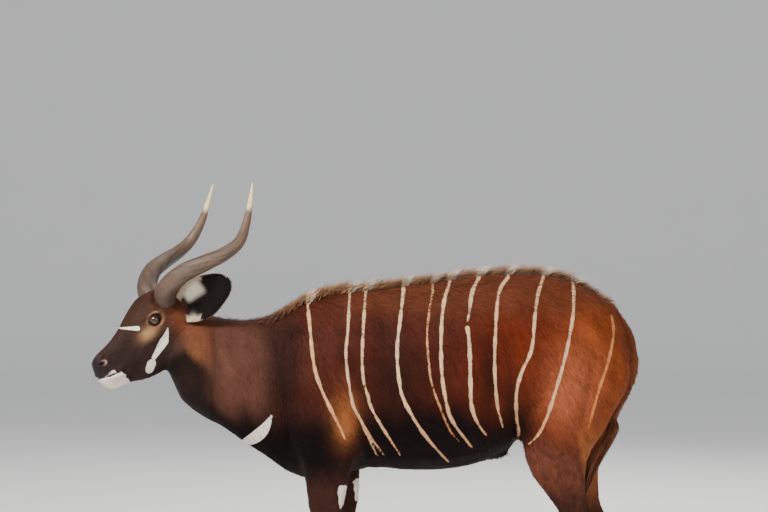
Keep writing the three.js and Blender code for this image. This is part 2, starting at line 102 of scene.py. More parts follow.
# Pale stripes of the flank, from the back down, as places along and above the floor.
STRIPES = [
    [(-0.210, 1.239), (-0.223, 1.206), (-0.212, 1.100), (-0.196, 0.971), (-0.166, 0.876), (-0.100, 0.740),
     (-0.080, 0.693)],
    [(-0.066, 1.239), (-0.071, 1.107), (-0.078, 0.993), (-0.055, 0.832), (-0.027, 0.773), (0.035, 0.630)],
    [(-0.052, 0.815), (0.005, 0.715), (0.061, 0.630)],
    [(-0.007, 1.239), (-0.018, 1.037), (-0.016, 0.927), (-0.001, 0.865), (0.024, 0.792), (0.120, 0.634)],
    [(0.133, 1.235), (0.120, 1.129), (0.109, 1.026), (0.116, 0.916), (0.136, 0.836), (0.208, 0.715),
     (0.299, 0.605)],
    [(0.241, 1.235), (0.226, 1.155), (0.219, 1.074), (0.226, 0.960), (0.243, 0.876), (0.299, 0.737),
     (0.338, 0.685)],
    [(0.305, 1.268), (0.283, 1.202), (0.271, 1.100), (0.271, 0.953), (0.285, 0.850), (0.310, 0.766),
     (0.384, 0.663)],
    [(0.415, 1.287), (0.387, 1.235), (0.373, 1.155), (0.366, 1.128)],
    [(0.366, 1.105), (0.373, 1.045), (0.376, 0.905), (0.380, 0.821), (0.402, 0.759), (0.435, 0.711)],
    [(0.522, 1.287), (0.490, 1.246), (0.475, 1.173), (0.466, 1.026), (0.466, 0.931), (0.475, 0.821),
     (0.497, 0.740)],
    [(0.654, 1.290), (0.631, 1.235), (0.615, 1.155), (0.600, 1.026), (0.563, 0.942), (0.545, 0.865),
     (0.547, 0.781), (0.558, 0.707), (0.541, 0.663)],
    [(0.763, 1.224), (0.754, 1.140), (0.727, 1.015), (0.693, 0.891), (0.659, 0.781), (0.626, 0.711),
     (0.593, 0.674)],
    [(0.904, 1.144), (0.907, 1.085), (0.882, 0.982), (0.846, 0.876), (0.811, 0.737)],
]
# How warm each stripe is, from 0, cream, to 1, orange.
STRIPE_WARMTH = [0.30, 0.0, 0.1, 0.05, 0.0, 0.6, 0.1, 0.0, 0.0, 0.1, 0.1, 0.15, 0.95]
# Half the width of each stripe, in metres.
STRIPE_HALF = [
    0.0058, 0.0050, 0.0042, 0.0050, 0.0058, 0.0036, 0.0060, 0.0066, 0.0066, 0.0056, 0.0058, 0.0058, 0.0052,
]
CRESCENT = [(-0.462, 0.655), (-0.430, 0.680), (-0.398, 0.712), (-0.372, 0.746), (-0.354, 0.778)]
KNEE_MARK = [(-0.092, 0.500), (-0.097, 0.440)]
KNEE_APART = 0.055  # how far the far fore knee stands behind the near one
OVER_BACK = 0.09  # how far a stripe that reaches the crest is carried on over it
CREST_Z = 1.18  # a stripe that starts above this height reaches the crest
FAR_OFF = 1.0  # stands for no mark near


def srgb(red, green, blue):
    """A colour as seen on a screen, from 0 to 255, as the linear value that a shader takes."""
    value = np.array([red, green, blue]) / 255
    return np.where(value <= 0.04045, value / 12.92, ((value + 0.055) / 1.055) ** 2.4)


def solid(colour):
    return (*colour, 1)


def paint(red, green, blue):
    return solid(srgb(red, green, blue))


def ramp(value, start, end):
    """0 before start, 1 past end, and a smooth rise between them."""
    t = np.clip((value - start) / (end - start), 0, 1)
    return t * t * (3 - 2 * t)


def bell(value, width):
    """1 where the value is 0, fading to 0 on both sides."""
    return np.exp(-((value / width) ** 2))


def blend(low, high, share):
    share = np.asarray(share)[:, None]
    return low * (1 - share) + high * share


def unit(vectors):
    return vectors / np.maximum(np.linalg.norm(vectors, axis=-1, keepdims=True), 1e-9)


def head_place(points):
    """Points in the head's frame: how far forward, to the left, and up."""
    away = points - HEAD_AT
    return away @ HEAD_FORWARD, away @ HEAD_LEFT, away @ HEAD_UP


def on_head(forward, left, up):
    return HEAD_AT + forward * HEAD_FORWARD + left * HEAD_LEFT + up * HEAD_UP


def to_line(points, line):
    """The distance of 2-D points from a line of points."""
    best = np.full(len(points), 1e3)
    line = np.array(line)
    for a, b in zip(line[:-1], line[1:]):
        along = b - a
        t = np.clip(((points - a) @ along) / (along @ along), 0, 1)
        best = np.minimum(best, np.linalg.norm(points - a - t[:, None] * along, axis=1))
    return best


def smooth_line(points, steps=6):
    """A Catmull-Rom curve through 2-D points, as a finer line."""
    p = np.array(points)
    p = np.vstack([2 * p[0] - p[1], p, 2 * p[-1] - p[-2]])
    t = np.linspace(0, 1, steps, endpoint=False)[:, None]
    made = [
        0.5 * (2 * b + (c - a) * t + (2 * a - 5 * b + 4 * c - d) * t**2 + (3 * b - a - 3 * c + d) * t**3)
        for a, b, c, d in zip(p[:-3], p[1:-2], p[2:-1], p[3:])
    ]
    return np.vstack(made + [p[-2:-1]])


def stripe_lines():
    lines = []
    for stripe in STRIPES:
        line = smooth_line(stripe)
        if stripe[0][1] > CREST_Z:
            over = line[0] + np.array([0.25 * (line[0][0] - line[1][0]), OVER_BACK])
            line = np.vstack([over, line])
        lines.append(line)
    return lines


STRIPE_LINES = stripe_lines()


def head_share(points):
    """1 on the head, 0 behind it."""
    forward, _, up = head_place(points)
    past_neck = forward - 0.35 * (up + 0.06)
    return ramp(past_neck, NECK_END - 0.03, NECK_END + 0.05) * ramp(-points[:, 0], 0.55, 0.62)


def mouth_height(forward):
    """How high the line of the mouth lies in the head's frame."""
    return -0.040 - 0.42 * (0.285 - forward)


def pale_distance(points):
    """How far outside the nearest pale mark each point is, in metres, below 0 inside; and the mark's colour,
    from 0, orange, over 0.5, cream, to 1, white."""
    side_view = points[:, [0, 2]]
    near = np.full(len(points), FAR_OFF)
    warm = np.zeros(len(points))
    for line, half, warmth in zip(STRIPE_LINES, STRIPE_HALF, STRIPE_WARMTH):
        height = side_view[:, 1]
        waver = 1 + 0.16 * np.sin(61 * height + 9000 * half) + 0.10 * np.sin(133 * height)
        taper = half * waver * (0.45 + 0.55 * ramp(height, line[-1][1] - 0.02, line[-1][1] + 0.10))
        outside = to_line(side_view, line) - taper
        lower = warmth + 0.45 * ramp(-height, -0.92, -0.70)
        warm = np.where(outside < near, lower, warm)
        near = np.minimum(near, outside)
    inner = (points[:, 2] < 0.82) & (aside(points) < 0.085)  # belly and inner legs
    body = np.where(inner | (head_share(points) > 0.5), FAR_OFF, near)

    u, v, w = head_place(points)
    face = np.stack([u, w], axis=1)
    side = np.abs(v)
    white = np.full(len(points), FAR_OFF)

    def mark(line, start, end, far=0.0):
        """A line on the face whose half width goes from start to end, left out near the middle."""
        nonlocal white
        line = np.array(line)
        whole = line[-1] - line[0]
        t = np.clip((face - line[0]) @ whole / (whole**2).sum(), 0, 1)
        away = to_line(face, line) - (start + (end - start) * t)
        white = np.minimum(white, np.where(side > far, away, FAR_OFF))

    mark([(0.106, 0.047), (0.070, 0.016)], 0.0028, 0.0088)
    mark([(-0.014, -0.055), (0.006, -0.074), (0.024, -0.088)], 0.002, 0.0175, far=0.03)
    mark([(0.024, -0.088), (0.056, -0.102), (0.086, -0.113)], 0.0175, 0.009, far=0.03)
    mark([(0.108, -0.128), (0.122, -0.139)], 0.0185, 0.017, far=0.015)
    mouth_up = mouth_height(u)
    chin = np.maximum(w - mouth_up + 0.002, 0.212 - u + 0.15 * (w + 0.09))
    lip = np.maximum(np.abs(w - mouth_up - 0.0100) - 0.0062, np.abs(u - 0.256) - 0.024)
    muzzle = np.minimum(chin, lip) + 0.0018 * np.sin(260 * w + 3) + 0.0014 * np.sin(410 * u - 150 * w)
    head = np.where(head_share(points) > 0.5, np.minimum(white, muzzle), FAR_OFF)

    x, y, z = points.T
    t = np.clip((z - CRESCENT[0][1]) / 0.12, 0, 1)
    crescent = to_line(side_view, smooth_line(CRESCENT)) - (0.004 + 0.020 * np.sin(math.pi * t**0.62))
    knee_view = np.stack([x - np.where(y < MIDDLE_Y, 0.0, KNEE_APART), z], axis=1)
    low = np.clip((0.512 - z) / 0.075, 0, 1)
    knee = to_line(knee_view, KNEE_MARK) - 0.021 * (1 - 0.75 * low)
    knee += 0.0022 * np.sin(210 * z + 60 * y) + 0.0018 * np.sin(330 * x)
    legs = np.minimum(np.minimum(crescent, knee), pastern_marks(points))
    nearest = np.minimum(np.minimum(body, head), legs)
    return nearest, np.where(np.minimum(head, legs) < body, 1.0, 0.5 - 0.5 * np.clip(warm, 0, 1))


def pastern_marks(points):
    """White patches above the hooves."""
    best = np.full(len(points), FAR_OFF)
    for leg in LEGS:
        low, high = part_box(f"leg_{leg}")
        fore = leg.startswith("front")
        hoof = middle(f"hoof_{leg}_outer")
        front = hoof[0] + (0.018 if fore else 0.022)
        away = points - np.array([front, (low.y + high.y) / 2, 0.0])
        near = (np.abs(points[:, 1] - hoof[1]) < 0.09) & (np.abs(away[:, 0]) < 0.2)
        pastern = np.abs(points[:, 2] - 0.088) - 0.014 - 0.3 * np.clip(0.01 - away[:, 0], -0.02, 0.05)
        best = np.where(near, np.minimum(best, np.maximum(pastern, away[:, 0] - 0.035)), best)
    return best


# The front edge of the tail, where it lies against the rump.
TAIL_FRONT = np.array([(0.925, 1.130), (0.958, 1.080), (0.982, 1.010), (0.979, 0.920), (0.938, 0.826),
                       (0.884, 0.727), (0.838, 0.640)])


def behind_tail_front(points):
    return points[:, 0] - np.interp(points[:, 2], TAIL_FRONT[::-1, 1], TAIL_FRONT[::-1, 0])


def aside(points):
    """How far to either side of the trunk's middle plane."""
    return np.abs(points[:, 1] - MIDDLE_Y)


def between(value, low, low_full, high_full, high):
    """0 outside low and high, 1 between the two full values."""
    return ramp(value, low, low_full) * ramp(-value, -high, -high_full)


def tail_ridge(points):
    """1 on the tail, where it lies against the rump."""
    near = ramp(-aside(points), -0.026, -0.017) * between(points[:, 2], 0.60, 0.64, 1.10, 1.19)
    return ramp(behind_tail_front(points), -0.012, 0.006) * near


def tail_groove(points):
    """1 in the groove on each side of the tail."""
    near = bell(aside(points) - 0.029, 0.0075) * between(points[:, 2], 0.74, 0.80, 1.08, 1.17)
    return ramp(behind_tail_front(points), -0.055, -0.025) * near


def tail_crease_shadow(points):
    """1 along the front edge of the tail, where it presses into the rump; the coat is painted dark there as
    the crease's shadow.
    """
    near = 0.7 * ramp(-aside(points), -0.060, -0.036) * between(points[:, 2], 0.70, 0.80, 1.02, 1.12)
    return bell(behind_tail_front(points) + 0.002, 0.008) * near


TONES = {
    "chestnut": srgb(74, 30, 16),
    "deep": srgb(34, 15, 11),
    "red": srgb(92, 34, 14),
    # painted sheen: the lighter tone where the hair of the back catches light
    "painted_sheen": srgb(94, 52, 33),
    "orange": srgb(128, 62, 29),
    # painted light: the lighter tone of the thigh where light falls on it
    "thigh": srgb(158, 88, 58),
    "elbow": srgb(160, 96, 52),
    "shoulder": srgb(68, 31, 21),
    "neck": srgb(88, 56, 46),
    "jaw": srgb(112, 68, 41),
    "black": srgb(10, 8, 8),
    "face": srgb(50, 37, 33),
    "brow": srgb(58, 38, 30),
    "cheek": srgb(118, 67, 43),
    "leg": srgb(56, 33, 26),
    "tail": srgb(112, 66, 42),
    "gaskin": srgb(110, 62, 46),
    "tan": srgb(182, 140, 100),
    "white": srgb(228, 212, 190),
    "nose": srgb(50, 40, 40),
    "rim": srgb(192, 154, 146),
}


def spot(points, x, z, along, up):
    """1 at a place of the side view, fading to 0 around it."""
    return bell(points[:, 0] - x, along) * bell(points[:, 2] - z, up)


class Paint:
    """Colours laid one over another at the same points."""

    def __init__(self, name, count):
        self.colour = np.tile(TONES[name], (count, 1))

    def lay(self, colour, share):
        """Lays a colour, or one of the named tones, over the share of each point."""
        self.colour = blend(self.colour, TONES[colour] if isinstance(colour, str) else colour, share)


def tone(points):
    """The broad colour of the coat at each point, without its pale marks; with painted sheen on the back,
    painted light on the thigh, and painted shade on the flank, under the jaw and throat, and beside the tail.
    """
    x, z = points[:, 0], points[:, 2]
    wave = 0.012 * np.sin(17 * x + 3) + 0.008 * np.sin(41 * x + 9 * z) + 0.006 * np.sin(73 * x - 20 * z)
    body = Paint("chestnut", len(points))
    body.lay("red", ramp(x, 0.30, 0.50))
    # Painted shade: dark spots over the middle of the flank and before the fold of the flank.
    body.lay("deep", 0.85 * spot(points, 0.09, 0.91, 0.17, 0.24))
    body.lay("deep", 0.75 * spot(points, 0.445, 0.93, 0.034, 0.20))
    body.lay("deep", 0.6 * spot(points, 0.515, 0.86, 0.030, 0.18))
    body.lay("orange", 0.9 * ramp(x + 0.25 * (z - 1.1), 0.66, 0.84))
    # Painted light: a lit patch on the thigh, laid in as a lighter tone.
    body.lay("thigh", 0.85 * spot(points, 0.74, 0.86, 0.11, 0.18))
    # Painted sheen: the top of the back is made lighter, as the light that its hair catches.
    body.lay("painted_sheen", 0.75 * ramp(z + wave, 1.10, 1.22))
    body.lay("shoulder", 0.85 * ramp(-x + 0.25 * (1.0 - z), -0.06, 0.16))
    body.lay("neck", ramp(-x + 0.15 * (z - 0.9) + wave, 0.26, 0.38))
    body.lay("deep", 0.8 * between(x, -0.43, -0.34, -0.29, -0.20) * between(z, 0.70, 0.85, 1.08, 1.19))
    body.lay("elbow", 0.95 * spot(points, -0.085, 0.755, 0.050, 0.095))
    body.lay("jaw", 0.9 * spot(points, -0.632, 1.010, 0.050, 0.095))
    belly_line = 0.825 - 0.055 * ramp(x, 0.30, 0.52) - 0.04 * ramp(-x, -0.08, 0.05)
    under = ramp(belly_line + wave - z, -0.06, 0.075) * ramp(-x, -0.66, -0.54)
    body.lay("black", 0.95 * under * (1 - 0.9 * spot(points, -0.085, 0.74, 0.055, 0.10)))
    # Painted shade: black in the fold of the flank before the hind leg.
    body.lay("black", 0.9 * spot(points, 0.555, 0.72, 0.055, 0.13))
    # Painted shadow: the underside of the neck is laid black, as the shadow under it.
    under_neck = 0.669 * (x + 0.70) + 0.743 * (z - 0.885) + 0.6 * wave
    depth = 0.090 - 0.055 * ramp(x, -0.72, -0.58)
    throat_shade = ramp(depth - under_neck, -0.015, 0.030) * ramp(-x, 0.24, 0.36)
    body.lay("black", 0.85 * throat_shade)
    body.lay("black", 0.65 * spot(points, -0.24, 0.66, 0.10, 0.16))
    body.lay("leg", ramp(-z + wave, -0.62, -0.50) * ramp(-x, -0.5, 0.1))
    # The gaskin's mottle is partly the coat's own and partly painted highlights: its pinkish patches stand
    # for light on the muscle.
    mottle = 0.5 + 0.5 * np.sin(63 * x + 5 * np.sin(31 * z)) * np.sin(47 * z + 4 * np.sin(40 * x))
    low_thigh = ramp(-z + wave, -0.74, -0.60) * ramp(x, 0.50, 0.6)
    gaskin = Paint("gaskin", len(points))
    gaskin.lay("leg", 0.55 * mottle)
    body.lay(gaskin.colour, low_thigh)
    body.lay("leg", ramp(-z + wave, -0.56, -0.42) * ramp(x, 0.45, 0.6))
    body.lay("elbow", 0.75 * ramp(x - 0.20 * (0.55 - z), 0.790, 0.815) * ramp(-z, -0.80, -0.66)
             * ramp(z + 2 * wave, 0.34, 0.58))
    body.lay("black", 0.85 * ramp(-z, -0.20, -0.06))
    # Painted shade: the grooves beside the tail and the crease at its front edge are laid black.
    body.lay("black", 0.9 * np.maximum(tail_groove(points), tail_crease_shadow(points)))
    body.lay("tail", 0.8 * tail_ridge(points))

    u, v, w = head_place(points)
    share = ramp(u - 0.35 * (w + 0.06), NECK_END - 0.06, NECK_END + 0.07) * ramp(-x, 0.50, 0.64)
    face = Paint("face", len(points))
    face.lay("brow", ramp(w - 0.10 * u, -0.01, 0.035) * ramp(-u, -0.20, -0.08))
    behind = bell(u + 0.070, 0.050) * bell(w + 0.065, 0.080) * ramp(np.abs(v), 0.02, 0.06)
    face.lay("shoulder", 0.7 * ramp(-u, 0.02, 0.10))
    face.lay("cheek", 0.85 * behind)
    # Painted shadow: the black layers under the jaw and down the throat stand for the shadow under the head.
    under_jaw_shade = ramp(0.115 - under_neck, -0.015, 0.030)
    face.lay("jaw", 0.9 * spot(points, -0.632, 1.010, 0.050, 0.095))
    face.lay("black", 0.9 * ramp(-w - 0.25 * u, 0.135, 0.175) * ramp(-u, -0.10, 0.0) * under_jaw_shade)
    face.lay("tan", 0.9 * bell(u - 0.050, 0.037) * bell(w + 0.023, 0.021))
    face.lay("nose", ramp(u, 0.225, 0.262) * ramp(w, -0.052, -0.040))
    rim = bell(np.sqrt(nostril_field(u, w)) - 1.62, 0.5) * ramp(np.abs(v), 0.008, 0.016)
    face.lay("rim", 0.85 * rim)
    face.lay("black", 0.6 * ramp(-w, 0.135, 0.185) * np.maximum(under_jaw_shade, ramp(u, 0.0, 0.05)))
    eye = np.sqrt(((u - 0.002) / 1.25) ** 2 + w**2)
    face.lay("black", 0.85 * ramp(-eye, -0.028, -0.020) * ramp(np.abs(v), 0.03, 0.05))
    ring = bell(eye - 0.0262, 0.0038) * (0.4 + 0.6 * ramp(-np.abs(u + 0.004), -0.024, -0.010))
    face.lay("tan", 0.6 * ring * ramp(np.abs(v), 0.03, 0.05))
    return blend(body.colour, face.colour, share)


def flow(points):
    """The lie of the coat: backward over the trunk, down the legs, and from the nose up over the face."""
    x, z = points[:, 0], points[:, 2]
    trunk = np.tile(np.array([0.50, 0.0, -0.86]), (len(points), 1))
    trunk[:, 0] += 0.30 * ramp(z, 1.05, 1.25)
    neck = np.array([0.55, 0.0, -0.82])
    legs = np.array([0.12, 0.0, -1.0])
    made = blend(trunk, neck, ramp(-x, 0.20, 0.42) * ramp(-z, -1.16, -1.05))
    made = blend(made, legs, ramp(-z, -0.74, -0.52))
    share = head_share(points)
    return unit(blend(made, -HEAD_FORWARD - 0.25 * HEAD_UP, share))


def coat_depth(points):
    """How far the skin lies inside the frame's solids, in metres."""
    x, _, z = points.T
    depth = 0.0075 - 0.0045 * ramp(-z, -0.62, -0.45)
    crest = ramp(-aside(points), -0.075, -0.012) * ramp(z, 1.05, 1.15) * ramp(x, -0.62, -0.45)
    depth = depth + 0.012 * crest
    depth = depth + 0.004 * ramp(-x, 0.2, 0.4) * ramp(-z, -0.8, -0.65)
    return depth * (1 - head_share(points)) + 0.0022 * head_share(points)


def mesh_of(name, points, faces, smooth=True):
    """A mesh from arrays of points and of faces that all have as many corners."""
    mesh = bpy.data.meshes.new(name)
    faces = np.asarray(faces, dtype=np.int32)
    corners = faces.shape[1]
    mesh.vertices.add(len(points))
    mesh.vertices.foreach_set("co", np.asarray(points, dtype=np.float32).ravel())
    mesh.loops.add(faces.size)
    mesh.loops.foreach_set("vertex_index", faces.ravel())
    mesh.polygons.add(len(faces))
    mesh.polygons.foreach_set("loop_start", np.arange(0, faces.size, corners, dtype=np.int32))
    mesh.polygons.foreach_set("use_smooth", np.full(len(faces), smooth))
    mesh.update(calc_edges=True)
    return mesh


def object_of(name, mesh):
    made = bpy.data.objects.new(name, mesh)
    bpy.context.scene.collection.objects.link(made)
    return made


def coordinates(mesh):
    co = np.empty(len(mesh.vertices) * 3, np.float32)
    mesh.vertices.foreach_get("co", co)
    return co.reshape(-1, 3).astype(float)


def normals_of(mesh):
    normal = np.empty(len(mesh.vertices) * 3, np.float32)
    mesh.vertex_normals.foreach_get("vector", normal)
    return normal.reshape(-1, 3).astype(float)


def set_coordinates(mesh, points):
    mesh.vertices.foreach_set("co", np.asarray(points, np.float32).ravel())
    mesh.update()


def triangles_of(mesh):
    mesh.calc_loop_triangles()
    tri = np.empty(len(mesh.loop_triangles) * 3, np.int32)
    mesh.loop_triangles.foreach_get("vertices", tri)
    return tri.reshape(-1, 3)


def set_value(mesh, name, values, kind="FLOAT"):
    attribute = mesh.attributes.new(name, kind, "POINT")
    key = "color" if kind == "FLOAT_COLOR" else ("vector" if kind == "FLOAT_VECTOR" else "value")
    attribute.data.foreach_set(key, np.asarray(values, np.float32).ravel())


def dress(mesh, points):
    """The markings at these points, one for each vertex, as values that the coat's material reads."""
    distance, white = pale_distance(points)
    colour = np.hstack([tone(points), np.ones((len(points), 1))])
    set_value(mesh, "tone", colour, "FLOAT_COLOR")
    set_value(mesh, "pale_distance", distance * 1000)
    set_value(mesh, "whiteness", white)
    set_value(mesh, "comb", comb(points), "FLOAT_VECTOR")
    set_value(mesh, "muzzle", nose_share(points))


def nose_share(points):
    """1 on the bare, moist skin of the nose and lips."""
    u, _, w = head_place(points)
    return ramp(u, 0.232, 0.262) * between(w, -0.050, -0.036, 0.020, 0.040) * (head_share(points) > 0.5)


def comb(points):
    """Places measured along and across the lie of the coat, for streaks that follow it."""
    lie = np.array([0.50, 0.0, -0.86])
    rise = np.array([0.86, 0.0, 0.50])
    down = ramp(-points[:, 2], -0.74, -0.52)
    on_face = head_share(points)
    along = points @ lie * (1 - down) - points[:, 2] * down
    up = points @ rise * (1 - down) + points[:, 0] * down
    u, v, w = head_place(points)
    along = along * (1 - on_face) + u * on_face
    up = up * (1 - on_face) + w * on_face
    across = points[:, 1] * (1 - on_face) + v * on_face
    return np.stack([along, across, up], axis=1)


def joined(nodes, push):
    """One mesh from several solids of the frame, each grown by a little so that they fuse."""
    made = bmesh.new()
    for node in nodes:
        part = bmesh.new()
        part.from_mesh(frame["nodes"][node].data)
        bmesh.ops.remove_doubles(part, verts=part.verts, dist=2e-5)
        part.normal_update()
        for vertex in part.verts:
            vertex.co += vertex.normal * push
        copy = bpy.data.meshes.new("part")
        part.to_mesh(copy)
        part.free()
        made.from_mesh(copy)
        bpy.data.meshes.remove(copy)
    mesh = bpy.data.meshes.new("flesh")
    made.to_mesh(mesh)
    made.free()
    return mesh


def with_modifiers(mesh, *steps):
    """The mesh after a chain of modifiers, each a type and its settings."""
    holder = object_of("holder", mesh)
    for index, (kind, settings) in enumerate(steps):
        modifier = holder.modifiers.new(f"step_{index}", kind)
        for key, value in settings.items():
            setattr(modifier, key, value)
    seen = holder.evaluated_get(bpy.context.evaluated_depsgraph_get())
    made = bpy.data.meshes.new_from_object(seen)
    bpy.data.objects.remove(holder)
    bpy.data.meshes.remove(mesh)
    return made


def keep_largest(mesh):
    """Only the largest connected part of a mesh."""
    made = bmesh.new()
    made.from_mesh(mesh)
    seen = set()
    groups = []
    for start in made.verts:
        if start.index in seen:
            continue
        seen.add(start.index)
        group = [start]
        for vertex in group:
            for edge in vertex.link_edges:
                other = edge.other_vert(vertex)
                if other.index not in seen:
                    seen.add(other.index)
                    group.append(other)
        groups.append(group)
    groups.sort(key=len)
    for group in groups[:-1]:
        bmesh.ops.delete(made, geom=group, context="VERTS")
    made.to_mesh(mesh)
    made.free()


def refine(mesh, inside):
    """Splits the faces whose corners all pass the test."""
    made = bmesh.new()
    made.from_mesh(mesh)
    points = np.array([v.co for v in made.verts])
    chosen = inside(points)
    edges = [e for e in made.edges if chosen[e.verts[0].index] and chosen[e.verts[1].index]]
    bmesh.ops.subdivide_edges(made, edges=edges, cuts=1, use_grid_fill=True)
    made.to_mesh(mesh)
    made.free()


def soften(mesh, inside, times):
    """Evens out the surface where the points pass the test."""
    made = bmesh.new()
    made.from_mesh(mesh)
    points = np.array([v.co for v in made.verts])
    chosen = [v for v, keep in zip(made.verts, inside(points)) if keep]
    for _ in range(times):
        bmesh.ops.smooth_vert(
            made, verts=chosen, factor=0.5, use_axis_x=True, use_axis_y=True, use_axis_z=True)
    made.to_mesh(mesh)
    made.free()


def near_eye(points, reach):
    found = np.zeros(len(points), bool)
    for at in EYE_AT.values():
        found |= np.linalg.norm(points - at, axis=1) < reach
    return found


EYE_RADIUS = 0.020
LID_WIDTH = 0.0172  # half the length of the opening between the lids
LID_HEIGHT = 0.0108
# Swells and hollows of the face: forward, left and up; half the size forward, up and across; and how high.
LUMPS = {
    "cheek": (-0.055, 0.075, -0.085, 0.050, 0.045, 0.05, 0.006),
    "ridge of the cheek": (0.060, 0.06, -0.050, 0.050, 0.014, 0.04, 0.0035),
    "hollow under the ridge": (0.045, 0.06, -0.085, 0.045, 0.025, 0.04, -0.004),
    "hollow before the eye": (0.130, 0.04, -0.020, 0.050, 0.022, 0.03, -0.006),
    "hollow before the cheek": (0.150, 0.04, -0.115, 0.040, 0.030, 0.03, -0.003),
    "brow": (0.012, 0.066, 0.030, 0.030, 0.010, 0.03, 0.0055),
    "corner of the eye": (0.030, 0.060, -0.004, 0.012, 0.008, 0.03, -0.004),
    "forehead": (-0.012, 0.02, 0.085, 0.050, 0.030, 0.03, 0.004),
    "top of the nose": (0.245, 0.030, 0.012, 0.022, 0.018, 0.02, 0.004),
    "end of the nose": (0.262, 0.0, -0.040, 0.018, 0.020, 0.03, 0.003),
}


def nostril_field(u, w):
    """The square of the distance from a nostril's middle, 1 at its edge: a slanting comma."""
    slant = 0.55 * (w - 0.002)
    return ((u - 0.252 + slant) / 0.0095) ** 2 + ((w - 0.003 - 0.30 * (u - 0.252)) / 0.0058) ** 2


def sculpt_head(points, normals):
    """Lids, brows, nostrils, lips, cheeks and the hollows of the face."""
    u, v, w = head_place(points)
    moved = points.copy()
    share = head_share(points)

    def push(amount):
        nonlocal moved
        moved = moved + normals * (amount * share)[:, None]

    def swell(forward, left, up, size_u, size_w, size_v, amount):
        away = ((u - forward) / size_u) ** 2 + ((w - up) / size_w) ** 2 + ((np.abs(v) - left) / size_v) ** 2
        push(amount * np.exp(-away))

    for lump in LUMPS.values():
        swell(*lump)

    nostril = nostril_field(u, w)
    at_side = ramp(np.abs(v), 0.008, 0.018)
    push(-0.011 * np.exp(-(nostril**1.5)) * at_side)
    comma = ((u - 0.234) / 0.012) ** 2 + ((w - 0.014) / 0.0035) ** 2
    push(-0.006 * np.exp(-comma) * at_side)
    ridge = bell(np.sqrt(nostril) - 1.75, 0.5)
    push(0.0028 * ridge * at_side)
    middle_groove = bell(v, 0.0022) * ramp(u, 0.255, 0.275) * ramp(w, -0.045, -0.03)
    push(-0.002 * middle_groove)

    mouth_up = mouth_height(u)
    mouth = bell(w - mouth_up, 0.0034) * ramp(u, 0.186, 0.200)
    push(-0.0065 * mouth)
    push(0.0024 * bell(w - mouth_up - 0.010, 0.006) * ramp(u, 0.19, 0.22))
    push(0.0030 * bell(w - mouth_up + 0.011, 0.007) * ramp(u, 0.19, 0.23))

    for name, at in EYE_AT.items():
        facing = SIDE_SIGN[name]
        away = moved - at
        du = away @ HEAD_FORWARD
        dw = away @ HEAD_UP + 0.10 * du
        dv = (away @ HEAD_LEFT) * facing
        upper = LID_HEIGHT * (1.0 + 0.10 * (du > 0))
        lower = LID_HEIGHT * 0.72
        across = np.clip(1 - (du / LID_WIDTH) ** 2, 0, None)
        edge = np.where(dw > 0, upper, lower) * across**0.62
        outside = np.where(np.abs(du) < LID_WIDTH, np.abs(dw) - edge, np.hypot(np.abs(du) - LID_WIDTH, dw))
        radial = np.sqrt(np.clip(EYE_RADIUS**2 - du**2 - dw**2, 0, None))
        close = (dv > -0.004) & (np.hypot(du, dw) < 0.05)
        lid_rise = radial + 0.0022
        hug = bell(np.clip(outside, 0, None), 0.0075) * close
        target = dv + (lid_rise - dv) * hug
        covers = close & (np.hypot(du, dw) < 0.019)
        target = np.where(covers, np.maximum(target, radial + 0.0016), target)
        target = np.where((outside < 0) & close, radial - 0.0030, target)
        moved = moved + np.outer((target - dv) * facing, HEAD_LEFT)
        crease = bell(outside - 0.0085, 0.0022) * close * (dw > -0.004)
        moved = moved - np.outer(0.0016 * crease * facing, HEAD_LEFT)
        bag = bell(outside - 0.0095, 0.0030) * close * (dw < 0)
        moved = moved - np.outer(0.0010 * bag * facing, HEAD_LEFT)
    return moved


def sculpt_body(points, normals):
    """Tendons, joints and soft folds of the neck, shoulder, flank and legs."""
    x, _, z = points.T
    out = aside(points)
    body = 1 - head_share(points)
    amount = np.zeros(len(points))
    neck = ramp(-x, 0.24, 0.36) * ramp(out, 0.03, 0.08) * ramp(z, 0.70, 0.85)
    amount += 0.0030 * neck * np.sin(95 * (x + 0.12 * z) + 2.2 * np.sin(7 * z)) * ramp(-x, 0.30, 0.42)
    elbow = spot(points, 0.005, 0.66, 0.035, 0.06)
    amount -= 0.007 * elbow * np.sin(130 * (x + 0.6 * z))
    blade = bell(x + 0.045 + 0.30 * (z - 0.95), 0.018) * between(z, 0.72, 0.85, 1.05, 1.16)
    amount -= 0.006 * blade * ramp(out, 0.06, 0.12)
    spine = bell(x + 0.165 + 0.42 * (z - 0.95), 0.013) * between(z, 0.82, 0.92, 1.02, 1.14)
    amount += 0.005 * spine * ramp(out, 0.06, 0.12)
    flank = bell(x - 0.545 - 0.10 * (0.8 - z), 0.02) * between(z, 0.58, 0.64, 0.75, 0.92)
    amount -= 0.010 * flank
    thigh = bell(x - 0.815 - 0.18 * (z - 0.9), 0.018) * between(z, 0.66, 0.78, 0.92, 1.04)
    amount -= 0.006 * thigh * ramp(out, 0.08, 0.14)
    ribs = between(x, 0.06, 0.14, 0.38, 0.50) * between(z, 0.72, 0.82, 0.92, 1.05)
    amount += 0.0016 * ribs * np.sin(2 * math.pi * (x + 0.35 * z) / 0.062)
    amount += 0.006 * tail_ridge(points) - 0.012 * tail_groove(points)
    return points + normals * (amount * body)[:, None]


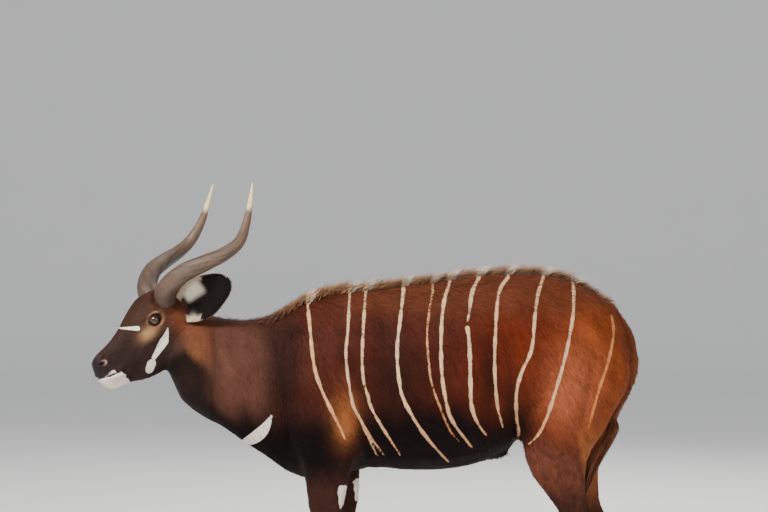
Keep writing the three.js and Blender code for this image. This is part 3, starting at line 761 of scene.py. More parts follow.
def sculpt_legs(points, normals):
    """Lean lower legs, with a groove before the tendon."""
    moved = points.copy()
    for leg in LEGS:
        low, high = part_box(f"leg_{leg}")
        fore = leg.startswith("front")
        ankle = (middle(f"dewclaw_{leg}_outer") + middle(f"dewclaw_{leg}_inner")) / 2
        groove_x = ankle[0] - (0.022 if fore else 0.018)
        x, y, z = points.T
        near = (np.abs(y - ankle[1]) < 0.075) & (x > low.x - 0.02) & (x < high.x + 0.02)
        groove = bell(x - groove_x, 0.006) * between(z, 0.15, 0.19, 0.27, 0.33)
        moved = moved - normals * (0.0045 * groove * near)[:, None]
    return moved


class BongoSizes(bpy.types.PropertyGroup):
    """Sizes and colours of the bull's skin, coat, horns and eyes."""

    skin_cell: FloatProperty(
        name="Skin cell", description="Size of the skin's cells before the head is refined",
        default=0.0085, min=0.004, max=0.03, unit="LENGTH",
    )
    horn_base: FloatProperty(
        name="Horn base", description="Radius of a horn at its root", default=0.042, min=0.02, max=0.06,
        unit="LENGTH",
    )
    horn_tip: FloatProperty(
        name="Horn tip", description="Radius of a horn at its tip", default=0.004, min=0.001, max=0.01,
        unit="LENGTH",
    )
    ear_length: FloatProperty(
        name="Ear length", description="Root to tip of an ear", default=0.238, min=0.15, max=0.3,
        unit="LENGTH",
    )
    body_tufts: IntProperty(
        name="Body tufts", description="Tufts on each of the body's coat pieces", default=19000, min=0,
        max=19900,
    )
    tuft_length: FloatProperty(
        name="Tuft length", description="Length of the tufts on the trunk", default=0.023, min=0.01, max=0.05,
        unit="LENGTH",
    )
    iris: FloatVectorProperty(
        name="Iris", description="Colour of the iris", subtype="COLOR", size=3,
        default=tuple(srgb(104, 63, 32)), min=0, max=1,
    )
    horn_colour: FloatVectorProperty(
        name="Horn", description="Colour of the horns below their tips", subtype="COLOR", size=3,
        default=tuple(srgb(108, 84, 65)), min=0, max=1,
    )
    pale_colour: FloatVectorProperty(
        name="Pale stripes", description="Colour of the cream stripes", subtype="COLOR", size=3,
        default=tuple(srgb(216, 180, 142)), min=0, max=1,
    )
    warm_colour: FloatVectorProperty(
        name="Warm stripes", description="Colour of the faint orange stripes", subtype="COLOR", size=3,
        default=tuple(srgb(196, 122, 70)), min=0, max=1,
    )
    white_colour: FloatVectorProperty(
        name="White marks", description="Colour of the white marks of head, chest and legs", subtype="COLOR",
        size=3, default=tuple(srgb(236, 226, 208)), min=0, max=1,
    )


def sizes():
    return bpy.context.scene.bongo_sizes


# Materials.
def new_group(name, inputs, outputs):
    """A shader node group with the given sockets: (name, kind, default) each."""
    group = bpy.data.node_groups.new(name, "ShaderNodeTree")
    for label, kind, default in inputs:
        socket = group.interface.new_socket(label, in_out="INPUT", socket_type=kind)
        socket.default_value = default
    for label, kind in outputs:
        group.interface.new_socket(label, in_out="OUTPUT", socket_type=kind)
    enter = group.nodes.new("NodeGroupInput")
    leave = group.nodes.new("NodeGroupOutput")
    return group, enter, leave


def math_node(tree, operation, *values, clamp=False):
    node = tree.nodes.new("ShaderNodeMath")
    node.operation = operation
    node.use_clamp = clamp
    for index, value in enumerate(values):
        feed(tree, value, node.inputs[index])
    return node.outputs[0]


def feed(tree, value, socket):
    if isinstance(value, bpy.types.NodeSocket):
        tree.links.new(value, socket)
    else:
        socket.default_value = value


def mix_colour(tree, share, low, high, kind="MIX"):
    node = tree.nodes.new("ShaderNodeMix")
    node.data_type = "RGBA"
    node.blend_type = kind
    feed(tree, share, node.inputs["Factor"])
    feed(tree, low, node.inputs[6])
    feed(tree, high, node.inputs[7])
    return node.outputs[2]


def noise(tree, vector, scale, detail=3.0, roughness=0.55):
    node = tree.nodes.new("ShaderNodeTexNoise")
    feed(tree, vector, node.inputs["Vector"])
    node.inputs["Scale"].default_value = scale
    node.inputs["Detail"].default_value = detail
    node.inputs["Roughness"].default_value = roughness
    return node.outputs["Fac"]


def stretched(tree, vector, scale):
    node = tree.nodes.new("ShaderNodeMapping")
    feed(tree, vector, node.inputs["Vector"])
    node.inputs["Scale"].default_value = scale
    return node.outputs["Vector"]


def attribute(tree, name, output):
    node = tree.nodes.new("ShaderNodeAttribute")
    node.attribute_name = name
    return node.outputs[output]


def ranged(tree, value, low, high, to_low=0.0, to_high=1.0):
    node = tree.nodes.new("ShaderNodeMapRange")
    feed(tree, value, node.inputs["Value"])
    node.inputs["From Min"].default_value = low
    node.inputs["From Max"].default_value = high
    node.inputs["To Min"].default_value = to_low
    node.inputs["To Max"].default_value = to_high
    return node.outputs["Result"]


def markings_group():
    """Pale stripes and white marks over the coat's broad colour, with a hairy edge."""
    group, enter, leave = new_group(
        "Coat markings",
        [("Tone", "NodeSocketColor", (0.2, 0.05, 0.02, 1)), ("Distance", "NodeSocketFloat", 10.0),
         ("Whiteness", "NodeSocketFloat", 0.0), ("Comb", "NodeSocketVector", (0, 0, 0)),
         ("Warm", "NodeSocketColor", (1, 1, 1, 1)), ("Cream", "NodeSocketColor", (1, 1, 1, 1)),
         ("White", "NodeSocketColor", (1, 1, 1, 1)),
         ("Edge", "NodeSocketFloat", 2.0)],
        [("Color", "NodeSocketColor")],
    )
    wander = noise(group, stretched(group, enter.outputs["Comb"], (60, 420, 420)), 1.0, 2.0)
    shifted = math_node(group, "ADD", enter.outputs["Distance"],
                        math_node(group, "MULTIPLY", math_node(group, "SUBTRACT", wander, 0.5), 5.0))
    soft = math_node(group, "DIVIDE", shifted, enter.outputs["Edge"])
    pale = math_node(group, "SUBTRACT", 0.5, soft, clamp=True)
    mottle = noise(group, stretched(group, enter.outputs["Comb"], (9, 16, 16)), 1.0, 4.0)
    patches = mix_colour(group, ranged(group, mottle, 0.3, 0.7), (0.55, 0.5, 0.48, 1), (1.3, 1.24, 1.2, 1))
    varied = mix_colour(group, 0.55, enter.outputs["Tone"], patches, "MULTIPLY")
    kind = mix_colour(group, ranged(group, enter.outputs["Whiteness"], 0, 0.5), enter.outputs["Warm"],
                      enter.outputs["Cream"])
    kind = mix_colour(group, ranged(group, enter.outputs["Whiteness"], 0.5, 1), kind, enter.outputs["White"])
    group.links.new(mix_colour(group, pale, varied, kind), leave.inputs["Color"])
    return group


def streaks_group():
    """Fine streaks that follow the lie of short hair, as a height and as light and dark hairs."""
    group, enter, leave = new_group(
        "Hair streaks",
        [("Comb", "NodeSocketVector", (0, 0, 0))],
        [("Height", "NodeSocketFloat"), ("Shade", "NodeSocketFloat")],
    )
    fine = noise(group, stretched(group, enter.outputs["Comb"], (70, 900, 900)), 1.0, 3.0, 0.6)
    broad = noise(group, stretched(group, enter.outputs["Comb"], (22, 150, 150)), 1.0, 3.0, 0.6)
    height = math_node(group, "ADD", fine, math_node(group, "MULTIPLY", broad, 1.5))
    group.links.new(height, leave.inputs["Height"])
    shade = math_node(group, "ADD", math_node(group, "MULTIPLY", fine, 0.7),
                      math_node(group, "MULTIPLY", broad, 0.5))
    group.links.new(shade, leave.inputs["Shade"])
    return group


def place(tree, group, **inputs):
    node = tree.nodes.new("ShaderNodeGroup")
    node.node_tree = group
    for name, value in inputs.items():
        feed(tree, value, node.inputs[name])
    return node


def new_material(name):
    material = bpy.data.materials.new(name)
    material.use_nodes = True
    tree = material.node_tree
    shader = tree.nodes["Principled BSDF"]
    return material, tree, shader


def add_bump(tree, shader, height, strength, distance):
    bump = tree.nodes.new("ShaderNodeBump")
    bump.inputs["Strength"].default_value = strength
    bump.inputs["Distance"].default_value = distance
    tree.links.new(height, bump.inputs["Height"])
    tree.links.new(bump.outputs[0], shader.inputs["Normal"])


def coat_material(name, is_skin):
    """The coat's colours and streaks, for the skin itself or for its tufts."""
    material, tree, shader = new_material(name)
    settings = sizes()
    lie = attribute(tree, "comb", "Vector")
    marks = place(
        tree, bpy.data.node_groups["Coat markings"], Tone=attribute(tree, "tone", "Color"),
        Distance=attribute(tree, "pale_distance", "Fac"), Whiteness=attribute(tree, "whiteness", "Fac"),
        Comb=lie, Warm=solid(settings.warm_colour), Cream=solid(settings.pale_colour),
        White=solid(settings.white_colour), Edge=2.4 if is_skin else 2.0,
    )
    hair = place(tree, bpy.data.node_groups["Hair streaks"], Comb=lie)
    shade = ranged(tree, hair.outputs["Shade"], 0.38, 0.82, 0.62, 1.35)
    if not is_skin:
        shade = math_node(tree, "MULTIPLY", shade, attribute(tree, "shade", "Fac"))
    grey = tree.nodes.new("ShaderNodeCombineColor")
    for socket in grey.inputs:
        tree.links.new(shade, socket)
    colour = mix_colour(tree, 1.0, marks.outputs["Color"], grey.outputs[0], "MULTIPLY")
    if is_skin:
        wet = attribute(tree, "muzzle", "Fac")
        pebble = noise(tree, lie, 520.0, 2.0)
        colour = mix_colour(tree, wet, colour, paint(38, 31, 31))
        tree.links.new(ranged(tree, wet, 0.0, 1.0, 0.52, 0.28), shader.inputs["Roughness"])
        height = math_node(tree, "ADD", hair.outputs["Height"], math_node(tree, "MULTIPLY", pebble, wet))
    else:
        shader.inputs["Roughness"].default_value = 0.58
        height = hair.outputs["Height"]
    tree.links.new(colour, shader.inputs["Base Color"])
    add_bump(tree, shader, height, 0.5 if is_skin else 0.15, 0.0016)
    shader.inputs["Specular IOR Level"].default_value = 0.06
    return material


def horn_material():
    material, tree, shader = new_material("horn_keratin")
    along = attribute(tree, "along", "Fac")
    round_it = attribute(tree, "round_about", "Vector")
    grain = noise(tree, stretched(tree, round_it, (16, 3.0, 3.0)), 1.0, 6.0, 0.6)
    rings = noise(tree, stretched(tree, round_it, (1.2, 46, 46)), 1.0, 3.0)
    base = mix_colour(tree, ranged(tree, grain, 0.3, 0.72), paint(52, 40, 33), solid(sizes().horn_colour))
    base = mix_colour(tree, ranged(tree, along, 0.55, 0.75), base,
                      mix_colour(tree, grain, paint(80, 58, 46), paint(116, 88, 68)))
    base = mix_colour(tree, ranged(tree, along, 0.05, 0.30), mix_colour(tree, grain, paint(48, 34, 27),
                      paint(88, 64, 50)), base)
    tip = ranged(tree, math_node(tree, "ADD", along, math_node(tree, "MULTIPLY", grain, 0.06)), 0.845, 0.885)
    base = mix_colour(tree, tip, base, paint(226, 208, 160))
    tree.links.new(base, shader.inputs["Base Color"])
    tree.links.new(ranged(tree, along, 0.2, 1.0, 0.55, 0.30), shader.inputs["Roughness"])
    height = math_node(tree, "ADD", grain, math_node(tree, "MULTIPLY", rings, 0.6))
    add_bump(tree, shader, height, 0.6, 0.002)
    return material


def hoof_material():
    material, tree, shader = new_material("hoof_keratin")
    place_at = tree.nodes.new("ShaderNodeTexCoord").outputs["Object"]
    rings = noise(tree, stretched(tree, place_at, (12, 12, 260)), 1.0, 3.0)
    grain = noise(tree, stretched(tree, place_at, (240, 240, 30)), 1.0, 4.0)
    dust = ranged(tree, noise(tree, place_at, 38.0, 4.0), 0.45, 0.75)
    colour = mix_colour(tree, ranged(tree, grain, 0.3, 0.7), paint(26, 22, 20), paint(58, 49, 43))
    colour = mix_colour(tree, math_node(tree, "MULTIPLY", dust, 0.25), colour, paint(120, 103, 84))
    tree.links.new(colour, shader.inputs["Base Color"])
    tree.links.new(ranged(tree, dust, 0, 1, 0.38, 0.7), shader.inputs["Roughness"])
    add_bump(tree, shader, math_node(tree, "ADD", rings, grain), 0.5, 0.0012)
    return material


def eye_material():
    material, tree, shader = new_material("eye_wet")
    spread = attribute(tree, "iris_radius", "Fac")
    pupil = attribute(tree, "pupil_distance", "Fac")
    rays = noise(tree, stretched(tree, attribute(tree, "iris_place", "Vector"), (30, 30, 30)), 6.0, 4.0)
    dark_iris = solid(np.array(sizes().iris) * 0.45)
    iris = mix_colour(tree, ranged(tree, rays, 0.3, 0.7), dark_iris, solid(sizes().iris))
    iris = mix_colour(tree, ranged(tree, spread, 0.72, 0.98), iris, paint(34, 22, 15))
    white = mix_colour(tree, ranged(tree, spread, 1.0, 1.12), iris, paint(70, 48, 36))
    colour = mix_colour(tree, ranged(tree, pupil, -0.06, 0.06, 1.0, 0.0), white, paint(9, 8, 10))
    tree.links.new(colour, shader.inputs["Base Color"])
    shader.inputs["Roughness"].default_value = 0.08
    shader.inputs["Coat Weight"].default_value = 0.5
    shader.inputs["Coat Roughness"].default_value = 0.02
    return material


def ear_material():
    """The ear's own skin: dark inside with a white band, brown behind, cream at the rim."""
    material, tree, shader = new_material("ear_skin")
    inner = attribute(tree, "inside", "Fac")
    band = attribute(tree, "band", "Fac")
    rim = attribute(tree, "rim", "Fac")
    lie = attribute(tree, "comb", "Vector")
    hair = place(tree, bpy.data.node_groups["Hair streaks"], Comb=lie)
    back = mix_colour(tree, hair.outputs["Shade"], paint(40, 25, 19), paint(92, 55, 36))
    dark = mix_colour(tree, hair.outputs["Shade"], paint(9, 7, 7), paint(27, 20, 18))
    white = solid(sizes().white_colour)
    colour = mix_colour(tree, inner, back, dark)
    colour = mix_colour(tree, band, colour, white)
    colour = mix_colour(tree, rim, colour, paint(196, 164, 128))
    tree.links.new(colour, shader.inputs["Base Color"])
    shader.inputs["Roughness"].default_value = 0.6
    shader.inputs["Specular IOR Level"].default_value = 0.10
    add_bump(tree, shader, hair.outputs["Height"], 0.4, 0.001)
    return material


def stage_material():
    material, tree, shader = new_material("studio_floor")
    place_at = tree.nodes.new("ShaderNodeTexCoord").outputs["Object"]
    grain = noise(tree, place_at, 2.0, 3.0)
    colour = mix_colour(tree, grain, (0.80, 0.80, 0.785, 1), (0.84, 0.835, 0.82, 1))
    tree.links.new(colour, shader.inputs["Base Color"])
    shader.inputs["Roughness"].default_value = 0.9
    return material


def grid_faces(rows, columns, wrap=True):
    """Quads over a grid of points in rows; wrap joins the last column to the first."""
    r, c = np.meshgrid(np.arange(rows - 1), np.arange(columns if wrap else columns - 1), indexing="ij")
    a = (r * columns + c).ravel()
    b = (r * columns + (c + 1) % columns).ravel()
    return np.stack([a, b, b + columns, a + columns], axis=1)


def finish_piece(piece, material, slot, *nodes):
    piece.data.materials.clear()
    piece.data.materials.append(material)
    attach(piece, "root")
    if nodes:
        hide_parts(*nodes)


# Skin.
GROWTH = 0.0012  # how far each solid is grown, so that neighbours fuse


def tail_root(points):
    return (points[:, 0] > 0.80) & (points[:, 2] > 0.98) & (aside(points) < 0.11)


def sheath(points):
    return (np.abs(points[:, 0] - 0.47) < 0.13) & (points[:, 2] < 0.69) & (aside(points) < 0.07)


def make_skin():
    mesh = joined(FLESH, GROWTH)
    mesh = with_modifiers(mesh, ("REMESH", {"mode": "VOXEL", "voxel_size": sizes().skin_cell}))
    keep_largest(mesh)
    mesh = with_modifiers(mesh, ("SMOOTH", {"factor": 0.5, "iterations": 10}))
    soften(mesh, tail_root, 40)
    soften(mesh, sheath, 24)
    refine(mesh, lambda p: head_share(p) > 0.35)
    mesh = with_modifiers(mesh, ("SMOOTH", {"factor": 0.5, "iterations": 4}))
    refine(mesh, lambda p: near_eye(p, 0.045) | near_muzzle(p))
    points = coordinates(mesh)
    normals = normals_of(mesh)
    points = points - normals * (coat_depth(points) + GROWTH)[:, None]
    set_coordinates(mesh, points)
    for sculpt in (sculpt_body, sculpt_legs, sculpt_head):
        points = sculpt(points, normals_of(mesh))
        set_coordinates(mesh, points)
    mesh.polygons.foreach_set("use_smooth", np.ones(len(mesh.polygons), bool))
    dress(mesh, points)
    return mesh


def near_muzzle(points):
    u, _, w = head_place(points)
    return (u > 0.185) & (w > -0.13) & (head_share(points) > 0.5)


class BONGO_OT_skin(bpy.types.Operator):
    """One skin over head, neck, trunk, tail and legs, with lids, nostrils, lips and folds"""

    bl_idname = "bongo.skin"
    bl_label = "Skin"

    def execute(self, context):
        markings_group()
        streaks_group()
        skin = object_of("skin", make_skin())
        finish_piece(skin, coat_material("skin_coat", True), "trunk", *FLESH)
        coat_material("hair_coat", False).use_fake_user = True
        return {"FINISHED"}


# Ears.
EAR_ROOT = (-0.092, 0.066, -0.042)
EAR_ALONG = (-0.132, 0.161, 0.120)
EAR_WIDTH = 0.082
EAR_CUP = 0.034
EAR_THICK = 0.0062
EAR_DROOP = 0.014


class Ear:
    """The cupped leaf of one ear, as a function of how far along and across it is."""

    def __init__(self, name):
        self.side = SIDE_SIGN[name]
        back, out, up = EAR_ALONG
        along = UP_AXIS * up + HEAD_LEVEL * back + HEAD_LEFT * self.side * out
        self.along = along / np.linalg.norm(along)
        opening = 0.62 * HEAD_LEVEL + 0.78 * self.side * HEAD_LEFT
        opening = opening - (opening @ self.along) * self.along
        self.opening = opening / np.linalg.norm(opening)
        self.across = np.cross(self.along, self.opening)
        forward, left, lift = EAR_ROOT
        self.root = on_head(forward, self.side * left, lift)

    def at(self, share, t, depth):
        """share is 0 at the root and 1 at the tip, t is -1 to 1 across, depth 0 inside and 1 behind."""
        reach = share**0.9
        leaf = np.sin(math.pi * np.minimum(1, 0.12 + 0.88 * reach) ** 0.95)
        fuller = 0.8 - 0.24 * ramp(reach, 0.55, 0.95)
        half = 0.016 + (EAR_WIDTH - 0.016) * np.clip(leaf, 0, 1) ** fuller
        width = np.maximum(half - 0.003, 0.004)
        cup = EAR_CUP * (1 - 0.75 * reach) + 0.004
        sink = EAR_THICK * (depth - 0.5) * (1 - 0.55 * np.abs(t) ** 4) * (1 - 0.4 * reach)
        ripple = 0.0016 * np.sin(9 * share + 2 * t) * np.abs(t) ** 2
        open_at = -cup * np.cos(t * math.pi / 2) - sink - 0.003 + 0.5 * EAR_DROOP * reach**2 + ripple
        return (
            self.root
            + np.outer(sizes().ear_length * 0.985 * reach, self.along)
            + np.outer(width * np.sin(t * math.pi / 2), self.across)
            + np.outer(open_at, self.opening)
        )


def make_ear(name):
    ear = Ear(name)
    rows, half = 44, 26
    share = np.linspace(0.0, 1.0, rows) ** 0.92
    t = np.concatenate([np.linspace(-1, 1, half), np.linspace(1, -1, half)])
    depth = np.concatenate([np.ones(half), np.zeros(half)])
    points = np.vstack([ear.at(np.full(2 * half, s), t, depth) for s in share])
    faces = grid_faces(rows, 2 * half)
    if ear.side > 0:
        faces = faces[:, ::-1]
    mesh = mesh_of(f"ear_{name}", points, faces)
    close_ends(mesh, rows, 2 * half)
    share_all = np.repeat(share, 2 * half)
    t_all = np.tile(t, rows)
    inside = np.tile(1 - depth, rows)
    set_value(mesh, "inside", inside)
    set_value(mesh, "reach", share_all)
    set_value(mesh, "across", t_all)
    top = -t_all * ear.side
    band = inside * between(top, 0.02, 0.22, 0.78, 0.92) * between(share_all, 0.08, 0.18, 0.40, 0.54)
    spots = inside * bell(share_all - 0.10, 0.05) * bell(top + 0.55, 0.25)
    set_value(mesh, "band", np.clip(band + 0.5 * spots, 0, 1))
    edge = ramp(np.abs(t_all), 0.84, 0.96) * ramp(share_all, 0.20, 0.4)
    set_value(mesh, "rim", edge * (0.25 + 0.75 * ramp(top, -0.2, 0.3)))
    place_on = np.stack([share_all * sizes().ear_length, t_all * 0.06, inside * 0.02], axis=1)
    set_value(mesh, "comb", place_on, "FLOAT_VECTOR")
    return mesh


def close_ends(mesh, rows, columns):
    """Caps the first and last ring of a grid of points."""
    made = bmesh.new()
    made.from_mesh(mesh)
    made.verts.ensure_lookup_table()
    for start in (0, (rows - 1) * columns):
        ring = [made.verts[start + i] for i in range(columns)]
        made.faces.new(ring if start else ring[::-1])
    bmesh.ops.triangulate(made, faces=[f for f in made.faces if len(f.verts) > 4])
    bmesh.ops.recalc_face_normals(made, faces=made.faces)
    for face in made.faces:
        face.smooth = True
    made.to_mesh(mesh)
    made.free()


class BONGO_OT_ears(bpy.types.Operator):
    """The two ears, each a cupped leaf with a rim and a white band inside"""

    bl_idname = "bongo.ears"
    bl_label = "Ears"

    def execute(self, context):
        material = ear_material()
        for side in SIDES:
            ear = object_of(f"ear_{side}_skin", make_ear(side))
            finish_piece(ear, material, "ear", f"ear_{side}")
        return {"FINISHED"}


# Horns.
HORN_PATH = [
    (-0.078, 0.048, 0.020), (-0.098, 0.084, 0.060), (-0.172, 0.138, 0.080), (-0.253, 0.182, 0.064),
    (-0.324, 0.208, 0.046), (-0.391, 0.214, 0.042), (-0.463, 0.196, 0.068), (-0.529, 0.182, 0.110),
    (-0.596, 0.168, 0.161),
]
HORN_LENGTH = 0.65  # along its curve
HORN_ROWS = 150
HORN_COLUMNS = 40


def spaced(path, count):
    """Evenly spaced points on a smooth line through 3-D points."""
    p = np.array(path)
    knots = np.concatenate([[0], np.cumsum(np.linalg.norm(np.diff(p, axis=0), axis=1) ** 0.5)])
    fine = np.linspace(0, knots[-1], 1200)
    slopes = np.gradient(p, knots, axis=0)
    index = np.clip(np.searchsorted(knots, fine, side="right") - 1, 0, len(p) - 2)
    step = (knots[index + 1] - knots[index])[:, None]
    t = ((fine - knots[index]) / step[:, 0])[:, None]
    line = ((2 * t**3 - 3 * t**2 + 1) * p[index] + (t**3 - 2 * t**2 + t) * step * slopes[index]
            + (3 * t**2 - 2 * t**3) * p[index + 1] + (t**3 - t**2) * step * slopes[index + 1])
    length = np.concatenate([[0], np.cumsum(np.linalg.norm(np.diff(line, axis=0), axis=1))])
    at = np.linspace(0, length[-1], count)
    return np.stack([np.interp(at, length, line[:, k]) for k in range(3)], axis=1)


def frames_along(line, start):
    """Two directions across the line at each of its points, carried along it without twist."""
    tangent = unit(np.gradient(line, axis=0))
    first = [start - (start @ tangent[0]) * tangent[0]]
    for k in range(1, len(line)):
        kept = first[-1] - (first[-1] @ tangent[k]) * tangent[k]
        first.append(kept / np.linalg.norm(kept))
    first = unit(np.array(first))
    return first, np.cross(tangent, first)


def make_horn(name):
    side = SIDE_SIGN[name]
    line = spaced([on_head(u, side * v, w) for u, v, w in HORN_PATH], HORN_ROWS)
    across, beside = frames_along(line, HEAD_FORWARD)
    share = np.linspace(0, 1, HORN_ROWS)
    settings = sizes()
    radius = settings.horn_tip * 0.6 + (settings.horn_base - settings.horn_tip) * (1 - share**1.25) ** 0.85
    angle = np.linspace(0, 2 * math.pi, HORN_COLUMNS, endpoint=False)
    turn = side * 1.15 * math.pi * share
    points = []
    for k in range(HORN_ROWS):
        phase = angle - turn[k] - 0.4 * side
        keel = 0.085 * np.maximum(0, np.cos(phase)) ** 6
        keel = keel + 0.05 * np.maximum(0, np.cos(phase - 2.3 * side)) ** 4
        fade = 1 - ramp(share[k], 0.78, 1.0)
        wrinkle = 0.016 * math.sin(150 * share[k] + 4 * math.sin(11 * share[k]))
        wrinkle = wrinkle * max(0.0, 1 - share[k] / 0.45)
        around = radius[k] * (0.97 + (keel + wrinkle * (0.6 + 0.4 * np.cos(phase))) * fade)
        ring = np.outer(around * np.cos(angle), across[k]) + np.outer(around * np.sin(angle), beside[k])
        points.append(line[k] + ring)
    points = np.vstack(points)
    mesh = mesh_of(f"horn_{name}", points, grid_faces(HORN_ROWS, HORN_COLUMNS))
    close_ends(mesh, HORN_ROWS, HORN_COLUMNS)
    set_value(mesh, "along", np.repeat(share, HORN_COLUMNS))
    flat = np.tile(angle, HORN_ROWS) - np.repeat(turn, HORN_COLUMNS)
    set_value(mesh, "round_about", np.stack(
        [np.repeat(share, HORN_COLUMNS) * HORN_LENGTH, np.cos(flat), np.sin(flat)], axis=1), "FLOAT_VECTOR")
    return mesh


class BONGO_OT_horns(bpy.types.Operator):
    """The two lyre horns, keeled and loosely turned, with pale worn tips"""

    bl_idname = "bongo.horns"
    bl_label = "Horns"

    def execute(self, context):
        material = horn_material()
        for side in SIDES:
            horn = object_of(f"horn_{side}_keratin", make_horn(side))
            finish_piece(horn, material, "horn", f"horn_{side}")
        return {"FINISHED"}


# Eyes.
IRIS_RADIUS = 0.0122
PUPIL_HALF = (0.0072, 0.0046)  # half its length and height


def make_eye(name):
    facing = SIDE_SIGN[name]
    gaze = facing * HEAD_LEFT + 0.34 * HEAD_FORWARD - 0.02 * HEAD_UP
    gaze /= np.linalg.norm(gaze)
    level = np.cross(UP_AXIS, gaze)
    level /= np.linalg.norm(level)
    upright = np.cross(gaze, level)
    rows, columns = 56, 56
    polar = np.linspace(0, math.pi, rows)[1:-1]
    angle = np.linspace(0, 2 * math.pi, columns, endpoint=False)
    p, a = np.meshgrid(polar, angle, indexing="ij")
    radius = EYE_RADIUS * 0.985 * (1 + 0.045 * np.exp(-((p / 0.62) ** 4)))
    around = radius * np.sin(p)
    local = np.stack([around * np.cos(a), around * np.sin(a), radius * np.cos(p)], axis=-1).reshape(-1, 3)
    points = EYE_AT[name] + local @ np.stack([level, upright, gaze])
    mesh = mesh_of(f"eye_{name}", points, grid_faces(rows - 2, columns)[:, ::-1])
    close_ends(mesh, rows - 2, columns)
    iris = np.hypot(local[:, 0], local[:, 1]) / IRIS_RADIUS
    front = local[:, 2] > 0
    set_value(mesh, "iris_radius", np.where(front, iris, 2.0))
    x, y = local[:, 0] / PUPIL_HALF[0], local[:, 1] / PUPIL_HALF[1]
    set_value(mesh, "pupil_distance", np.where(front, np.hypot(x, y) - 1.0, 3.0))
    around = np.arctan2(local[:, 1], local[:, 0])
    iris_place = np.stack([np.cos(around), np.sin(around), iris * 0.05], axis=1)
    set_value(mesh, "iris_place", iris_place, "FLOAT_VECTOR")
    return mesh


class BONGO_OT_eyes(bpy.types.Operator):
    """The two eyes, each with a level oval pupil in an amber iris"""

    bl_idname = "bongo.eyes"
    bl_label = "Eyes"

    def execute(self, context):
        material = eye_material()
        for side in SIDES:
            eye = object_of(f"eye_{side}_ball", make_eye(side))
            finish_piece(eye, material, "eye", f"eye_{side}")
        return {"FINISHED"}


# Hooves.
SOLE_LENGTH = 0.104
WALL_SLOPE = 0.62  # how far back the wall goes for its height


def make_claw(node):
    """One claw of a cloven hoof: a flat sole, a wall that slopes back, and growth rings."""
    low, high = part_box(node)
    middle_y = (low.y + high.y) / 2
    other = node.replace("outer", "inner") if node.endswith("outer") else node.replace("inner", "outer")
    inward = math.copysign(1.0, middle(other)[1] - middle_y)
    rows, columns = 26, 44
    angle = np.linspace(0, 2 * math.pi, columns, endpoint=False)
    ahead = (1 - np.cos(angle)) / 2
    wide = (high.y - low.y) / 2
    points = []
    for k in range(rows):
        share = k / (rows - 1)
        z = high.z * share
        length = SOLE_LENGTH - WALL_SLOPE**2 * z
        front = low.x + WALL_SLOPE * z
        edge = 1 - 0.035 * (1 - min(1.0, share / 0.06)) ** 2 + 0.012 * math.sin(46 * share) * (share > 0.1)
        edge = edge * (1 - 0.17 * float(ramp(share, 0.76, 1.0)) ** 2)
        toe = 1 - 0.42 * (1 - ahead) ** 2
        bulb = 0.05 * bell(ahead - 0.86, 0.12) * (1 - share)
        side = (wide * edge) * np.sin(angle) * (toe + bulb) * (1 - 0.08 * share)
        x = front + length * (0.5 + (ahead - 0.5) * edge)
        y = middle_y - inward * 0.002 + side + inward * 0.004 * (1 - ahead)
        points.append(np.stack([x, y, np.full(columns, z)], axis=1))
    mesh = mesh_of(node, np.vstack(points), grid_faces(rows, columns))
    close_ends(mesh, rows, columns)
    return mesh


def make_dew_claw(node):
    """A small blunt claw behind the fetlock, pointing down and back."""
    low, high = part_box(node)
    centre = (np.array(low) + np.array(high)) / 2
    half = (np.array(high) - np.array(low)) / 2
    rows, columns = 16, 20
    angle = np.linspace(0, 2 * math.pi, columns, endpoint=False)
    points = []
    for k in range(rows):
        share = k / (rows - 1)
        swell = (math.sin(math.pi * (0.10 + 0.86 * share)) ** 0.6) * (0.75 + 0.25 * share)
        z = high.z - (high.z - low.z) * share * 0.98
        x = centre[0] - 0.003 + 0.006 * share + half[0] * swell * 0.85 * np.cos(angle)
        y = centre[1] + half[1] * swell * 0.9 * np.sin(angle)
        points.append(np.stack([x, y, np.full(columns, z)], axis=1))
    mesh = mesh_of(node, np.vstack(points), grid_faces(rows, columns)[:, ::-1])
    close_ends(mesh, rows, columns)
    return mesh


class BONGO_OT_hooves(bpy.types.Operator):
    """The cloven hooves and the small claws behind the fetlocks"""

    bl_idname = "bongo.hooves"
    bl_label = "Hooves"

    def execute(self, context):
        material = hoof_material()
        for leg in LEGS:
            for which in ("outer", "inner"):
                node = f"hoof_{leg}_{which}"
                finish_piece(object_of(f"{node}_wall", make_claw(node)), material, "hoof", node)
                node = f"dewclaw_{leg}_{which}"
                finish_piece(object_of(f"{node}_horn", make_dew_claw(node)), material, "hoof", node)
        return {"FINISHED"}


# Coat.
# A tuft is a thin closed blade: rings of three points along it, and one point at its tip.
SINK = 0.0012  # how deep a tuft is rooted
LEG_TUFTS = 12000  # on each of the two pieces
HEAD_TUFTS = 17000
CREST_TUFTS = 8500
CHIN_TUFTS = 1400
COLLAR_TUFTS = 900  # round the root of each horn
EAR_TUFTS = 5200  # on each ear
EAR_FRINGE = 900
LASHES = 60  # over each eye
STRANDS = 1500  # of the tail's tuft
COLLAR_LENGTH = 0.017
CHIN_LENGTH = 0.0095
LASH_LENGTH = 0.0095
BAKE_PATCH = 0.003  # the size of a tuft's patch on the map


